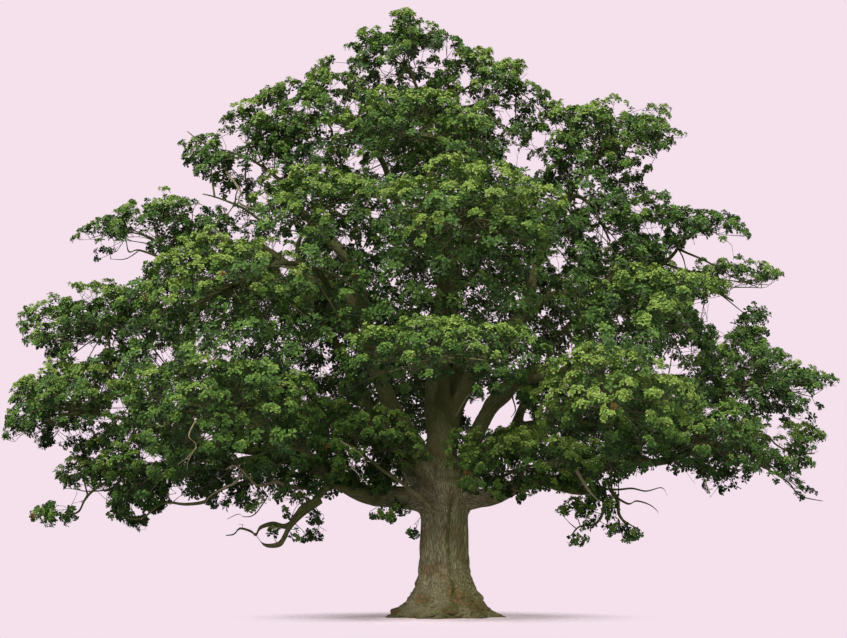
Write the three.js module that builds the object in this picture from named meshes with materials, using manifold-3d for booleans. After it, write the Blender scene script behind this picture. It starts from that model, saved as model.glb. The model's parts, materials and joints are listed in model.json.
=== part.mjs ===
// A mature open-grown oak, built as it grows: one trunk with its root flare, the limbs that
// leave it and each other, and the masses of foliage that the limbs carry.
// Millimetres, +Z up, origin at the centre of the flat cut at ground level. +X is the
// right-hand side of the crown as it is usually seen, and -Y its front.
import * as THREE from "three";
import { mergeVertices } from "three/addons/utils/BufferGeometryUtils.js";
import Module from "manifold-3d";

// Driving dimensions of the trunk.
const TRUNK_RADIUS = 730; // at breast height, above the flare
const FLARE_RADIUS = 950; // what the roots add at the ground
const FLARE_HEIGHT = 560; // the height in which that falls to about a third
const ROOT_COUNT = 7;
const ROOT_RELIEF = 0.13; // how far the root ridges stand out, as a share of the radius
const HEAD_START = 3000; // the trunk widens from here to its head, where the limbs leave
const HEAD_HEIGHT = 3900;
const HEAD_SWELL = 190;
const TRUNK_HEIGHT = 4700;
const TRUNK_SIDES = 24;
const TRUNK_RINGS = [0, 130, 300, 560, 950, 1600, 2700, 3350, 3800, 4250, 4700];

// Joints and sections.
const CLEARANCE = 0.3; // between a limb and what carries it
const COLLAR = 1.25; // how much a limb swells where it leaves its parent
const LIMB_SIDES = 7;
const THIN_LIMB_SIDES = 6;
const THIN_LIMB = 200; // a limb that starts thinner than this has fewer sides
const LIMB_STEPS = 5;
const LIMB_WOBBLE = 0.035; // sideways bends of a limb, as a share of its length

// Foliage. A leaf here stands for a whole spray of leaves.
const CLUMPS = 6; // twigs in a large mass, each with a rosette of leaves at its end
const FEWER_CLUMPS = 5; // in a small one
const SMALL_MASS = 1990; // mean radius
const LEAVES = 5; // in a rosette
const LEAF_SHARE = 0.74; // a leaf's length over the mean radius of its mass
const LEAF_BELLY = 0.62; // how far along a leaf is widest, as a share of its length
const LEAF_HALF_WIDTH = 0.37; // there, as a share of its length
const LEAF_NOTCH = 0.27; // how far out two leaves part, as a share of their length
const ROSETTE_DROOP = 0.16; // how far the leaves' tips hang, as a share of their length
const TIP_SIDE_LEAVES = 0.74; // the other leaves of a rosette that makes a tip, over their usual
const ROSETTE_THICKNESS = 76;
const STEM_RADIUS = 56;
const TWIG_RADIUS = 26;
const FIRST_TWIG = 0.6; // how far along its stem a mass's first twig leaves it
const CLUMP_REACH = 0.8; // how far out a rosette lies, as a share of the mass's radii
const SPACE = 1.12; // how far out a leaf may reach, as a share of the same
const CELL_GAP = 25; // kept between the spaces of two masses
const FLATNESS = 0.62; // a mass's usual height over its width
const GOLDEN_ANGLE = Math.PI * (3 - Math.sqrt(5));
// A rosette's size, its turn, how far it is drawn in and how far it swings to the side, in
// the order in which they are tried.
const TRIES = [
  [1, 0, 0, 0],
  [1, 0.6, 0, 0],
  [0.9, 0, 0.08, 0],
  [0.9, 0.3, 0, 0.3],
  [0.9, 0.3, 0, -0.3],
  [0.8, 0, 0.15, 0],
  [0.8, 0.6, 0, 0.5],
  [0.8, 0.6, 0, -0.5],
  [0.65, 0, 0.2, 0.4],
  [0.65, 0, 0.2, -0.4],
  [0.5, 0.5, 0.3, 0],
];

// The masses of foliage: the middle of each, its radii, and the tips that stand out of it.
const MASSES = [
  {
    name: "crown_top",
    at: [-1300, 0, 18050],
    radii: [1950, 2100, 1750],
    tips: [[-1260, 0, 20000]],
  },
  {
    name: "top_right",
    at: [1350, 300, 16600],
    radii: [2000, 2200, 1700],
    tips: [[1250, 200, 18800], [2950, 400, 18100]],
  },
  {
    name: "top_left",
    at: [-3950, -600, 15900],
    radii: [2150, 2300, 1650],
    tips: [[-3900, -400, 18250], [-5800, -400, 16800]],
  },
  { name: "top_back", at: [-400, 3900, 16000], radii: [2900, 2400, 1900] },
  { name: "top_front", at: [-1100, -3500, 14500], radii: [2600, 2200, 1500] },
  {
    name: "upper_left",
    at: [-6500, 200, 14900],
    radii: [2250, 2500, 1700],
    tips: [[-8650, 200, 15450]],
  },
  {
    name: "upper_right",
    at: [5350, 400, 15250],
    radii: [2750, 2600, 1800],
    tips: [[7950, 400, 16250], [3950, 400, 17000]],
  },
  { name: "inner_right", at: [5500, 600, 12100], radii: [2150, 2300, 1350] },
  { name: "back_high", at: [1300, 7000, 13000], radii: [3300, 2800, 2000] },
  { name: "front_high", at: [700, -6500, 11400], radii: [2600, 2400, 1450] },
  { name: "front_left_high", at: [-3700, -4600, 12000], radii: [2000, 2100, 1300] },
  {
    name: "mid_left",
    at: [-9500, 800, 12300],
    radii: [2650, 2500, 1400],
    tips: [[-12250, 600, 12350], [-9600, 700, 14200]],
  },
  {
    name: "mid_right",
    at: [8000, 300, 12500],
    radii: [2250, 2500, 1500],
    tips: [[9900, 300, 12700]],
  },
  {
    name: "right_outer",
    at: [9700, 1700, 10300],
    radii: [1800, 2500, 1300],
    tips: [[11450, 1700, 11250]],
  },
  { name: "left_bright", at: [-6200, -5600, 9400], radii: [2600, 2500, 1500] },
  { name: "right_front", at: [6200, -4700, 8900], radii: [2400, 2300, 1250] },
  { name: "centre_front", at: [-100, -8400, 7500], radii: [2900, 2400, 1150] },
  { name: "right_bright", at: [4400, -8000, 6000], radii: [2000, 2300, 1350] },
  {
    name: "right_far",
    at: [10000, -600, 7400],
    radii: [2600, 3000, 1600],
    tips: [[12600, -300, 7400], [11550, 200, 9750]],
  },
  {
    name: "left_far_upper",
    at: [-11100, 700, 9100],
    radii: [2650, 2800, 1550],
    tips: [[-13950, 700, 9650], [-12900, 500, 8500]],
  },
  {
    name: "left_far_lower",
    at: [-11350, -1300, 6350],
    radii: [2500, 2900, 1400],
    tips: [[-13800, -1000, 5550], [-13600, -1000, 7300]],
  },
  {
    name: "left_low_tip",
    at: [-10900, 700, 3950],
    radii: [2250, 2100, 950],
    tips: [[-13350, 700, 3120], [-9950, 200, 2720]],
  },
  { name: "left_front_low", at: [-6100, -7000, 5800], radii: [2750, 2600, 1500] },
  { name: "left_low_mid", at: [-7900, -2500, 4500], radii: [2500, 2400, 1050] },
  {
    name: "right_low_far",
    at: [10300, 400, 4900],
    radii: [2250, 2700, 1150],
    tips: [[12100, 300, 3650], [12350, 400, 5700]],
  },
  { name: "right_low_mid", at: [7200, -3900, 5200], radii: [2500, 2500, 1150] },
  {
    name: "right_hanging",
    at: [4900, -2500, 2950],
    radii: [1600, 1500, 850],
    tips: [[5800, -2500, 2350], [4000, -2500, 3000]],
  },
  { name: "near_left", at: [-3000, -2300, 5300], radii: [2300, 1900, 1050] },
  { name: "near_right", at: [2700, -3400, 4550], radii: [2200, 1800, 950] },
  {
    name: "drooping_sprigs",
    at: [-4600, -3000, 2900],
    radii: [1300, 1100, 700],
    tips: [[-5350, -2800, 2200], [-3800, -2500, 2350]],
  },
  { name: "back_low_left", at: [-6600, 7900, 6800], radii: [3500, 3100, 1900] },
  { name: "back_low_right", at: [7100, 7900, 6800], radii: [3300, 3100, 1900] },
  { name: "back_low_middle", at: [-1500, 10200, 8300], radii: [3000, 2800, 1800] },
  { name: "back_left", at: [-5700, 5400, 11200], radii: [3000, 2900, 1900] },
  { name: "back_right", at: [5800, 5600, 11000], radii: [3100, 2900, 1900] },
  { name: "inner_left", at: [-2900, 1900, 9700], radii: [2000, 2000, 1700] },
];

// The limbs: what each leaves, the point there or the share of the parent's length where it
// starts, a point that it passes halfway, its tip, its radii at both ends and what it carries.
const LIMBS = [
  {
    name: "centre_stem",
    root: [0, 0, 3600],
    via: [-150, 200, 10000],
    tip: [-500, 500, 16000],
    radii: [520, 130],
    carries: ["crown_top", "top_back", "top_right"],
  },
  {
    name: "left_stem",
    root: [-300, -150, 3600],
    via: [-2500, -1100, 9300],
    tip: [-5000, -500, 13500],
    radii: [350, 110],
    carries: ["upper_left"],
  },
  {
    name: "left_low_bough",
    root: [-250, -50, 3550],
    via: [-4300, -700, 4550],
    tip: [-9200, -1100, 5900],
    radii: [360, 110],
    carries: ["left_far_lower"],
  },
  {
    name: "right_low_bough",
    root: [300, -100, 3600],
    via: [2800, -1300, 4000],
    tip: [4700, -2200, 3850],
    radii: [340, 130],
    carries: ["right_hanging"],
  },
  {
    name: "right_arch",
    root: [350, 50, 3900],
    via: [2700, 200, 7250],
    tip: [7600, -500, 7000],
    radii: [300, 110],
    carries: ["right_far"],
  },
  {
    name: "back_stem",
    root: [0, 300, 3700],
    via: [300, 2700, 8600],
    tip: [600, 4700, 11900],
    radii: [350, 110],
    carries: ["back_high"],
  },
  {
    name: "back_left_bough",
    root: [-250, 250, 3700],
    via: [-2800, 3000, 6300],
    tip: [-4800, 5800, 6800],
    radii: [330, 110],
    carries: ["back_low_left"],
  },
  {
    name: "back_right_bough",
    root: [250, 250, 3700],
    via: [2800, 3000, 6300],
    tip: [4800, 5800, 6800],
    radii: [330, 110],
    carries: ["back_low_right"],
  },
  {
    name: "right_stem",
    from: "centre_stem",
    share: 0.12,
    via: [2100, 500, 9600],
    tip: [4100, 400, 13500],
    radii: [290, 110],
    carries: ["upper_right", "inner_right"],
  },
  {
    name: "front_limb",
    from: "centre_stem",
    share: 0.23,
    via: [-100, -3200, 7600],
    tip: [-100, -6100, 7600],
    radii: [170, 85],
    carries: ["centre_front"],
  },
  {
    name: "front_high_limb",
    from: "centre_stem",
    share: 0.4,
    via: [300, -2400, 10500],
    tip: [500, -4300, 11100],
    radii: [170, 85],
    carries: ["front_high"],
  },
  {
    name: "top_left_limb",
    from: "centre_stem",
    share: 0.62,
    via: [-1500, -700, 13500],
    tip: [-2400, -1500, 14900],
    radii: [150, 85],
    carries: ["top_left", "top_front"],
  },
  {
    name: "left_mid_limb",
    from: "left_stem",
    share: 0.56,
    via: [-5500, -100, 11500],
    tip: [-8000, 600, 11300],
    radii: [160, 85],
    carries: ["mid_left", "left_far_upper"],
  },
  {
    name: "left_front_limb",
    from: "left_stem",
    share: 0.42,
    via: [-3500, -2700, 9900],
    tip: [-4300, -4000, 10500],
    radii: [160, 85],
    carries: ["left_bright", "front_left_high"],
  },
  {
    name: "drooping_limb",
    from: "left_low_bough",
    share: 0.2,
    via: [-3300, -1800, 3900],
    tip: [-4300, -2500, 3250],
    radii: [190, 75],
    carries: ["drooping_sprigs"],
  },
  {
    name: "left_low_front_limb",
    from: "left_low_bough",
    share: 0.33,
    via: [-4200, -3200, 4900],
    tip: [-5100, -5200, 5300],
    radii: [160, 85],
    carries: ["left_front_low"],
  },
  {
    name: "left_low_outer_limb",
    from: "left_low_bough",
    share: 0.5,
    via: [-6700, -400, 4700],
    tip: [-8200, -200, 4450],
    radii: [130, 80],
    carries: ["left_low_tip", "left_low_mid"],
  },
  {
    name: "right_low_outer_limb",
    from: "right_low_bough",
    share: 0.72,
    via: [6000, -1900, 4700],
    tip: [7900, -1700, 5200],
    radii: [180, 90],
    carries: ["right_low_far", "right_low_mid"],
  },
  {
    name: "right_front_limb",
    from: "right_arch",
    share: 0.32,
    via: [3300, -3000, 7500],
    tip: [4300, -5400, 7300],
    radii: [170, 90],
    carries: ["right_bright", "right_front"],
  },
  {
    name: "right_mid_limb",
    from: "right_stem",
    share: 0.5,
    via: [4700, 800, 10700],
    tip: [6900, 1200, 11300],
    radii: [160, 85],
    carries: ["mid_right", "right_outer"],
  },
  {
    name: "back_low_limb",
    from: "back_stem",
    share: 0.35,
    via: [-300, 5000, 7500],
    tip: [-1100, 7700, 8000],
    radii: [170, 90],
    carries: ["back_low_middle"],
  },
  {
    name: "back_left_limb",
    from: "back_left_bough",
    share: 0.45,
    via: [-3300, 3300, 8300],
    tip: [-4000, 3700, 9800],
    radii: [160, 85],
    carries: ["back_left", "inner_left"],
  },
  {
    name: "back_right_limb",
    from: "back_right_bough",
    share: 0.45,
    via: [3500, 3600, 8400],
    tip: [4500, 4300, 9900],
    radii: [160, 85],
    carries: ["back_right"],
  },
];

// These masses grow on the trunk itself: their stems start inside and are cut at the bark.
const TRUNK_SPRIGS = [
  { carries: "near_right", start: [450, -450, 3700], facing: [0.6, -0.7, 0.35] },
  { carries: "near_left", start: [-330, -560, 3350], facing: [-0.5, -0.8, 0.35] },
];

// Colours, from the photograph.
const BARK = new THREE.Color(0x5d5442);
const FOLIAGE = new THREE.Color(0x3d5f26);

const wasm = await Module();
wasm.setup();

const vec = (list) => new THREE.Vector3(...list);
const meanRadius = (mass) => (mass.radii[0] + mass.radii[1] + mass.radii[2]) / 3;

// The same run of numbers from the same seed, each from 0 to 1.
function seeded(seed) {
  let state = seed >>> 0;
  return () => {
    state = (Math.imul(state, 1664525) + 1013904223) >>> 0;
    return state / 4294967296;
  };
}

// A closed solid from a geometry. Corners that fall together are merged, and the triangles
// that have no area left are dropped.
function solidOf(geometry) {
  const bare = geometry.clone();
  bare.deleteAttribute("normal");
  bare.deleteAttribute("uv");
  const merged = mergeVertices(bare, 1e-3);
  const triangles = [];
  for (let i = 0; i < merged.index.count; i += 3) {
    const [a, b, c] = merged.index.array.subarray(i, i + 3);
    if (a !== b && b !== c && c !== a) triangles.push(a, b, c);
  }
  return new wasm.Manifold(
    new wasm.Mesh({
      numProp: 3,
      vertProperties: new Float32Array(merged.attributes.position.array),
      triVerts: new Uint32Array(triangles),
    }),
  );
}

function geometryOf(solid) {
  const { numProp, vertProperties, triVerts, numVert } = solid.getMesh();
  const positions = new Float32Array(numVert * 3);
  for (let i = 0; i < numVert; i++)
    positions.set(vertProperties.subarray(i * numProp, i * numProp + 3), i * 3);
  const geometry = new THREE.BufferGeometry();
  geometry.setAttribute("position", new THREE.BufferAttribute(positions, 3));
  geometry.setIndex(new THREE.BufferAttribute(new Uint32Array(triVerts), 1));
  return geometry;
}

function largestBody(solid) {
  return solid.decompose().reduce((best, body) => (body.volume() > best.volume() ? body : best));
}

// A curve through a root, a point halfway and a tip, with slow sideways bends like a real
// limb's. It runs straight into both ends, so the bends are zero there.
class LimbCurve extends THREE.Curve {
  constructor(root, via, tip, seed) {
    super();
    this.root = root;
    this.tip = tip;
    this.control = via.clone().multiplyScalar(2).sub(root.clone().add(tip).multiplyScalar(0.5));
    const along = tip.clone().sub(root);
    this.bend = along.length() * LIMB_WOBBLE;
    this.side = new THREE.Vector3(-along.y, along.x, 0).normalize();
    if (this.side.lengthSq() < 0.5) this.side.set(1, 0, 0);
    this.lift = along.normalize().cross(this.side);
    const random = seeded(seed);
    this.phases = [random() * 2 * Math.PI, random() * 2 * Math.PI];
  }

  getPoint(t, target = new THREE.Vector3()) {
    const fade = 4 * t * (1 - t);
    const side = Math.sin(2.2 * Math.PI * t + this.phases[0]) * this.bend * fade;
    const lift = Math.sin(2.7 * Math.PI * t + this.phases[1]) * this.bend * fade;
    return target
      .set(0, 0, 0)
      .addScaledVector(this.root, (1 - t) * (1 - t))
      .addScaledVector(this.control, 2 * t * (1 - t))
      .addScaledVector(this.tip, t * t)
      .addScaledVector(this.side, side)
      .addScaledVector(this.lift, lift);
  }
}

// A closed tapering tube along a curve, made by bending a cylinder. radiusAt(t) is its radius.
function tubeAlong(curve, radiusAt, sides, steps) {
  const geometry = new THREE.CylinderGeometry(1, 1, 1, sides, steps);
  const frames = curve.computeFrenetFrames(steps);
  const position = geometry.attributes.position;
  const point = new THREE.Vector3();
  for (let i = 0; i < position.count; i++) {
    const step = Math.round((position.getY(i) + 0.5) * steps);
    const t = step / steps;
    const radius = radiusAt(t);
    const across = position.getX(i);
    const over = position.getZ(i);
    curve.getPointAt(t, point);
    point.addScaledVector(frames.normals[step], across * radius);
    point.addScaledVector(frames.binormals[step], -over * radius);
    position.setXYZ(i, point.x, point.y, point.z);
  }
  return geometry;
}

// The trunk's radius at a height and an angle: a column, the roots' flare with its ridges,
// and a swollen head that closes over the forks.
function trunkRadius(height, angle) {
  const flare = Math.exp(-height / FLARE_HEIGHT);
  const ridges = Math.cos(ROOT_COUNT * angle + 0.7 * Math.sin(2 * angle + 1));
  const swell = THREE.MathUtils.smoothstep(height, HEAD_START, HEAD_HEIGHT) * HEAD_SWELL;
  const dome = THREE.MathUtils.smoothstep(height, HEAD_HEIGHT, TRUNK_HEIGHT);
  const column = TRUNK_RADIUS + FLARE_RADIUS * flare + swell;
  return column * (1 + ROOT_RELIEF * ridges * flare) * (1 - 0.62 * dome * dome);
}

function trunkSolid(extra) {
  const rings = TRUNK_RINGS.length - 1;
  const geometry = new THREE.CylinderGeometry(1, 1, 1, TRUNK_SIDES, rings);
  const position = geometry.attributes.position;
  for (let i = 0; i < position.count; i++) {
    const ring = Math.round((position.getY(i) + 0.5) * rings);
    const height = TRUNK_RINGS[ring] + (ring === rings ? extra : 0);
    const across = position.getX(i);
    const over = position.getZ(i);
    const angle = Math.atan2(-over, across);
    const onAxis = Math.hypot(across, over) < 0.5;
    const radius = onAxis ? 0 : trunkRadius(TRUNK_RINGS[ring], angle) + extra;
    position.setXYZ(i, radius * Math.cos(angle), radius * Math.sin(angle), height);
  }
  return solidOf(geometry);
}

// Limbs are made in order, so that a limb's parent is there before it.
const limbs = new Map();

function limbRadius(radii, t) {
  const collar = (COLLAR - 1) * Math.max(0, 1 - t * 6);
  return (radii[1] + (radii[0] - radii[1]) * Math.pow(1 - t, 1.1)) * (1 + collar);
}

function limbSolid(limb, extra) {
  const radiusAt = (t) => limbRadius(limb.radii, t) + extra;
  const sides = limb.radii[0] < THIN_LIMB ? THIN_LIMB_SIDES : LIMB_SIDES;
  return solidOf(tubeAlong(limb.curve, radiusAt, sides, LIMB_STEPS));
}

function growLimb(plan, index) {
  const parent = limbs.get(plan.from);
  const root = parent ? parent.curve.getPointAt(plan.share) : vec(plan.root);
  const limb = { ...plan, curve: new LimbCurve(root, vec(plan.via), vec(plan.tip), index + 11) };
  limb.hull = limbSolid(limb, CLEARANCE);
  let solid = limbSolid(limb, 0).subtract(trunkHull);
  for (const other of limbs.values()) solid = solid.subtract(other.hull);
  limb.solid = largestBody(solid);
  limbs.set(plan.name, limb);
  return limb;
}

// A share of the way round and down a ball, spread evenly by the golden angle. The undersides
// of masses are thinner, so the lowest part of the ball is left out.
function ballDirection(index, count, phase) {
  const z = 1 - ((index + 0.5) / count) * 1.7;
  const around = index * GOLDEN_ANGLE + phase;
  const flat = Math.sqrt(Math.max(0, 1 - z * z));
  return new THREE.Vector3(Math.cos(around) * flat, Math.sin(around) * flat, z);
}

// A mass's own space is its ellipsoid, as far as the flat boundary with each neighbour.
function reach(mass, point) {
  const [x, y, z] = [point.x - mass.at[0], point.y - mass.at[1], point.z - mass.at[2]];
  return Math.hypot(x / mass.radii[0], y / mass.radii[1], z / mass.radii[2]);
}

function power(mass, point) {
  const [x, y, z] = [point.x - mass.at[0], point.y - mass.at[1], point.z - mass.at[2]];
  const mean = (mass.radii[0] + mass.radii[1] + mass.radii[2] / FLATNESS) / 3;
  return x * x + y * y + (z / FLATNESS) ** 2 - mean * mean;
}

function inOwnCell(mass, point) {
  return MASSES.every((other) => {
    if (other === mass) return true;
    const apart = vec(mass.at).distanceTo(vec(other.at));
    return power(other, point) - power(mass, point) > (2 * apart * CELL_GAP) / FLATNESS;
  });
}

// One leaf of a rosette in its plane: its two sides and its tip, at a length.
function leafCorners(rosette, turn, length) {
  const at = (along, across) => {
    const angle = turn + Math.atan2(across, along);
    const out = Math.hypot(across, along);
    return rosette.hub
      .clone()
      .addScaledVector(rosette.first, Math.cos(angle) * out * length)
      .addScaledVector(rosette.second, Math.sin(angle) * out * length)
      .addScaledVector(rosette.normal, -ROSETTE_DROOP * out * out * length);
  };
  return [at(LEAF_BELLY, -LEAF_HALF_WIDTH), at(1, 0), at(LEAF_BELLY, LEAF_HALF_WIDTH)];
}

// A twig with three sides and the rosette of leaves at its end, drawn out of one cylinder
// whose rings are the twig's start, its neck, the leaves' rim and the rosette's middle.
function rosetteSolid(rosette, from) {
  const rim = rosette.leaves.flatMap((leaf, i) => {
    const next = rosette.leaves[(i + 1) % LEAVES];
    const notchTurn = leaf.turn + ((next.turn - leaf.turn + 2 * Math.PI) % (2 * Math.PI)) / 2;
    const notch = LEAF_NOTCH * Math.min(leaf.length, next.length);
    return [
      ...leaf.corners,
      rosette.hub
        .clone()
        .addScaledVector(rosette.first, Math.cos(notchTurn) * notch)
        .addScaledVector(rosette.second, Math.sin(notchTurn) * notch),
    ];
  });
  const columns = rim.length;
  const side = (column) => Math.floor(((column % columns) * 3) / columns);
  const middle = (column) => rim[Math.floor(((side(column) + 0.5) * columns) / 3)];
  const ringPoint = (centre, axis, radius, column) => {
    const out = middle(column).clone().sub(rosette.hub);
    out.addScaledVector(axis, -out.dot(axis)).normalize();
    return centre.clone().addScaledVector(out, radius);
  };
  const neck = rosette.hub.clone().addScaledVector(rosette.normal, -ROSETTE_THICKNESS / 2);
  const top = rosette.hub.clone().addScaledVector(rosette.normal, ROSETTE_THICKNESS / 2);
  const rings = [
    (column) => ringPoint(from, rosette.normal, TWIG_RADIUS * 1.15, column),
    (column) => ringPoint(neck, rosette.normal, TWIG_RADIUS, column),
    (column) => rim[column % columns],
    () => top,
  ];
  const geometry = new THREE.CylinderGeometry(1, 1, 1, columns, rings.length - 1);
  const position = geometry.attributes.position;
  for (let i = 0; i < position.count; i++) {
    const ring = Math.round((position.getY(i) + 0.5) * (rings.length - 1));
    const turn = Math.atan2(position.getX(i), position.getZ(i)) / (2 * Math.PI);
    const column = (Math.round(turn * columns) + columns) % columns;
    const onAxis = Math.hypot(position.getX(i), position.getZ(i)) < 0.5;
    const point = onAxis && ring === 0 ? from : rings[ring](column);
    position.setXYZ(i, point.x, point.y, point.z);
  }
  return solidOf(geometry);
}

// A mass's stem runs on from its limb's tip and bends over to the middle of the mass.
function stemCurve(start, facing, centre) {
  const lead = start.distanceTo(centre) * 0.4;
  return new THREE.QuadraticBezierCurve3(
    start.clone().addScaledVector(facing, CLEARANCE),
    start.clone().addScaledVector(facing, lead),
    centre,
  );
}

// The wood, the stems and the masses that are already there, which new growth may not touch.
const placed = [];

function isNear(box, other) {
  return other.min.every((low, i) => low <= box.max[i] + 1 && box.min[i] <= other.max[i] + 1);
}

function isClearOf(solid, others) {
  const box = solid.boundingBox();
  return others.every(
    (other) => !isNear(box, other.box) || solid.minGap(other.solid, 1) > CLEARANCE,
  );
}

function boxed(solid, owner) {
  return { solid, box: solid.boundingBox(), owner };
}

// Where a rosette's middle lies for its first leaf to end at its tip.
function tipHub({ tip, first, normal }, leafLength) {
  return tip
    .clone()
    .addScaledVector(first, -leafLength)
    .addScaledVector(normal, ROSETTE_DROOP * leafLength);
}

// The ends of a mass's twigs, spread over its ellipsoid, each with the directions of its
// rosette. A tip that stands out of the mass takes the place of the nearest of them.
function clumpEnds(mass, phase, leafLength) {
  const centre = vec(mass.at);
  const radii = vec(mass.radii);
  const count = meanRadius(mass) < SMALL_MASS ? FEWER_CLUMPS : CLUMPS;
  const ends = Array.from({ length: count }, (_, i) => {
    const direction = ballDirection(i, count, phase);
    const hub = direction.clone().multiply(radii).multiplyScalar(CLUMP_REACH).add(centre);
    const normal = direction.divide(radii).normalize();
    return { hub, normal: normal.add(new THREE.Vector3(0, 0, 0.2)).normalize() };
  });
  for (const tip of (mass.tips ?? []).map(vec)) {
    const away = tip.clone().sub(centre).normalize();
    const cover = Math.abs(away.z) > 0.8 ? vec([0, -1, 0]) : vec([0, 0, 1]);
    cover.addScaledVector(away, -cover.dot(away)).normalize();
    const normal = away.clone().multiplyScalar(0.6).addScaledVector(cover, 0.8).normalize();
    const first = away.clone().addScaledVector(normal, -away.dot(normal)).normalize();
    const hub = tipHub({ tip, first, normal }, leafLength);
    const nearest = ends
      .filter((other) => !other.tip)
      .reduce((best, other) => (other.hub.distanceTo(hub) < best.hub.distanceTo(hub) ? other : best));
    Object.assign(nearest, { hub, normal, tip, first });
  }
  return ends;
}

// The leaves of a rosette, each as long as its mass's space allows.
function spreadLeaves(mass, rosette, leafLength, turn, random) {
  const { normal } = rosette;
  const across = Math.abs(normal.z) > 0.9 ? vec([1, 0, 0]) : vec([0, 0, 1]);
  const first = rosette.tip ? rosette.first : across.cross(normal).normalize();
  const second = normal.clone().cross(first);
  const shaped = { ...rosette, first, second };
  const inside = (p) => inOwnCell(mass, p) && reach(mass, p) < SPACE;
  shaped.leaves = Array.from({ length: LEAVES }, (_, j) => {
    const jitter = rosette.tip && j === 0 ? 0 : (random() - 0.5) * 0.16;
    const leafTurn = turn + (j * 2 * Math.PI) / LEAVES + jitter;
    const usual = leafLength * (0.84 + 0.26 * random());
    const grown = rosette.tip ? (j === 0 ? leafLength : usual * TIP_SIDE_LEAVES) : usual;
    const share = [1, 0.85, 0.7, 0.55, 0.4, 0.28].find(
      (part) => rosette.tip || leafCorners(shaped, leafTurn, grown * part).every(inside),
    );
    const length = grown * (share ?? 0.22);
    return { turn: leafTurn, length, corners: leafCorners(shaped, leafTurn, length), share };
  });
  return shaped;
}

// One mass of foliage: twigs leave its stem for the ends, and what would touch the wood or
// another mass is turned, then made smaller, then left out.
function growMass(mass, stem, curve, seed) {
  const random = seeded(seed);
  const centre = vec(mass.at);
  const leafLength = meanRadius(mass) * LEAF_SHARE;
  const around = placed.filter((other) => other.owner !== mass.name);
  const grown = [];
  const heads = [boxed(stem)];
  const facing = curve.getTangentAt(1);
  const aside = new THREE.Vector3(-facing.y, facing.x, 0).normalize();
  const lean = (clump) => clump.hub.clone().sub(centre).dot(facing);
  const clumps = clumpEnds(mass, random() * 2 * Math.PI, leafLength);
  clumps.sort((one, other) => lean(one) - lean(other));
  for (const [i, clump] of clumps.entries()) {
    const from = curve.getPointAt(FIRST_TWIG + ((0.97 - FIRST_TWIG) * i) / (clumps.length - 1));
    const turn = clump.tip ? 0 : random() * 2 * Math.PI;
    for (const [size, nudge, pull, swing] of TRIES) {
      const hub = clump.tip
        ? tipHub(clump, leafLength * size)
        : clump.hub.clone().lerp(centre, pull).addScaledVector(aside, swing * meanRadius(mass));
      const rosette = spreadLeaves(mass, { ...clump, hub }, leafLength * size, turn + nudge, random);
      if (rosette.leaves.some((leaf) => !leaf.share)) continue;
      const solid = rosetteSolid(rosette, from);
      const foot = hub.clone().addScaledVector(clump.normal, -ROSETTE_THICKNESS);
      const head = rosetteSolid(rosette, foot);
      if (!isClearOf(solid, around) || !isClearOf(head, heads)) continue;
      grown.push(solid);
      heads.push(boxed(head));
      break;
    }
  }
  return largestBody(wasm.Manifold.union([stem, ...grown]));
}

const tree = new THREE.Group();
const barkMaterial = new THREE.MeshStandardMaterial({ color: BARK, roughness: 0.95, metalness: 0 });
const leafMaterial = new THREE.MeshStandardMaterial({
  color: FOLIAGE,
  roughness: 0.6,
  metalness: 0,
});

function addPart(name, solid, material) {
  const mesh = new THREE.Mesh(geometryOf(solid), material);
  mesh.name = name;
  tree.add(mesh);
  placed.push(boxed(solid));
}

addPart("trunk", trunkSolid(0), barkMaterial);
const trunkHull = trunkSolid(CLEARANCE);
LIMBS.forEach((plan, i) => addPart(plan.name, growLimb(plan, i).solid, barkMaterial));

// Where each mass's stem starts: on its limb's flat tip, and evenly round it where several
// share the tip.
const starts = new Map();
for (const sprig of TRUNK_SPRIGS)
  starts.set(sprig.carries, [vec(sprig.start), vec(sprig.facing).normalize()]);
for (const limb of limbs.values()) {
  const facing = limb.curve.getTangentAt(1);
  const side = facing.clone().cross(vec([0, 0.1, 1])).normalize();
  const over = facing.clone().cross(side);
  const turned = limb.carries
    .map((name) => {
      const towards = vec(MASSES.find((mass) => mass.name === name).at).sub(limb.curve.tip);
      return { name, angle: Math.atan2(towards.dot(over), towards.dot(side)) };
    })
    .sort((one, other) => one.angle - other.angle);
  const count = turned.length;
  const step = (2 * Math.PI) / count;
  const base = turned.reduce((sum, { angle }, i) => sum + angle - i * step, 0) / count;
  turned.forEach(({ name }, i) => {
    const out = count > 1 ? limb.radii[1] * (count > 2 ? 0.62 : 0.72) : 0;
    const start = limb.curve.tip
      .clone()
      .addScaledVector(side, Math.cos(base + i * step) * out)
      .addScaledVector(over, Math.sin(base + i * step) * out);
    starts.set(name, [start, facing]);
  });
}

// All the stems stand before the first leaf grows, so that none is hemmed in.
const stems = MASSES.map((mass) => {
  const curve = stemCurve(...starts.get(mass.name), vec(mass.at));
  const radiusAt = (t) => STEM_RADIUS * (1 - 0.15 * t);
  const whole = solidOf(tubeAlong(curve, radiusAt, 4, 3));
  const hulls = [trunkHull, ...[...limbs.values()].map((limb) => limb.hull)];
  const onTrunk = TRUNK_SPRIGS.some((sprig) => sprig.carries === mass.name);
  const cut = onTrunk ? hulls.reduce((rest, hull) => rest.subtract(hull), whole) : whole;
  const solid = largestBody(cut);
  placed.push(boxed(solid, mass.name));
  return { curve, solid };
});
MASSES.forEach((mass, i) => {
  const { solid, curve } = stems[i];
  addPart(mass.name, growMass(mass, solid, curve, 101 + i), leafMaterial);
});

export default tree;
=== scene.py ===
import json
import math

import bmesh
import bpy
import numpy as np
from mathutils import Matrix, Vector, noise

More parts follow.
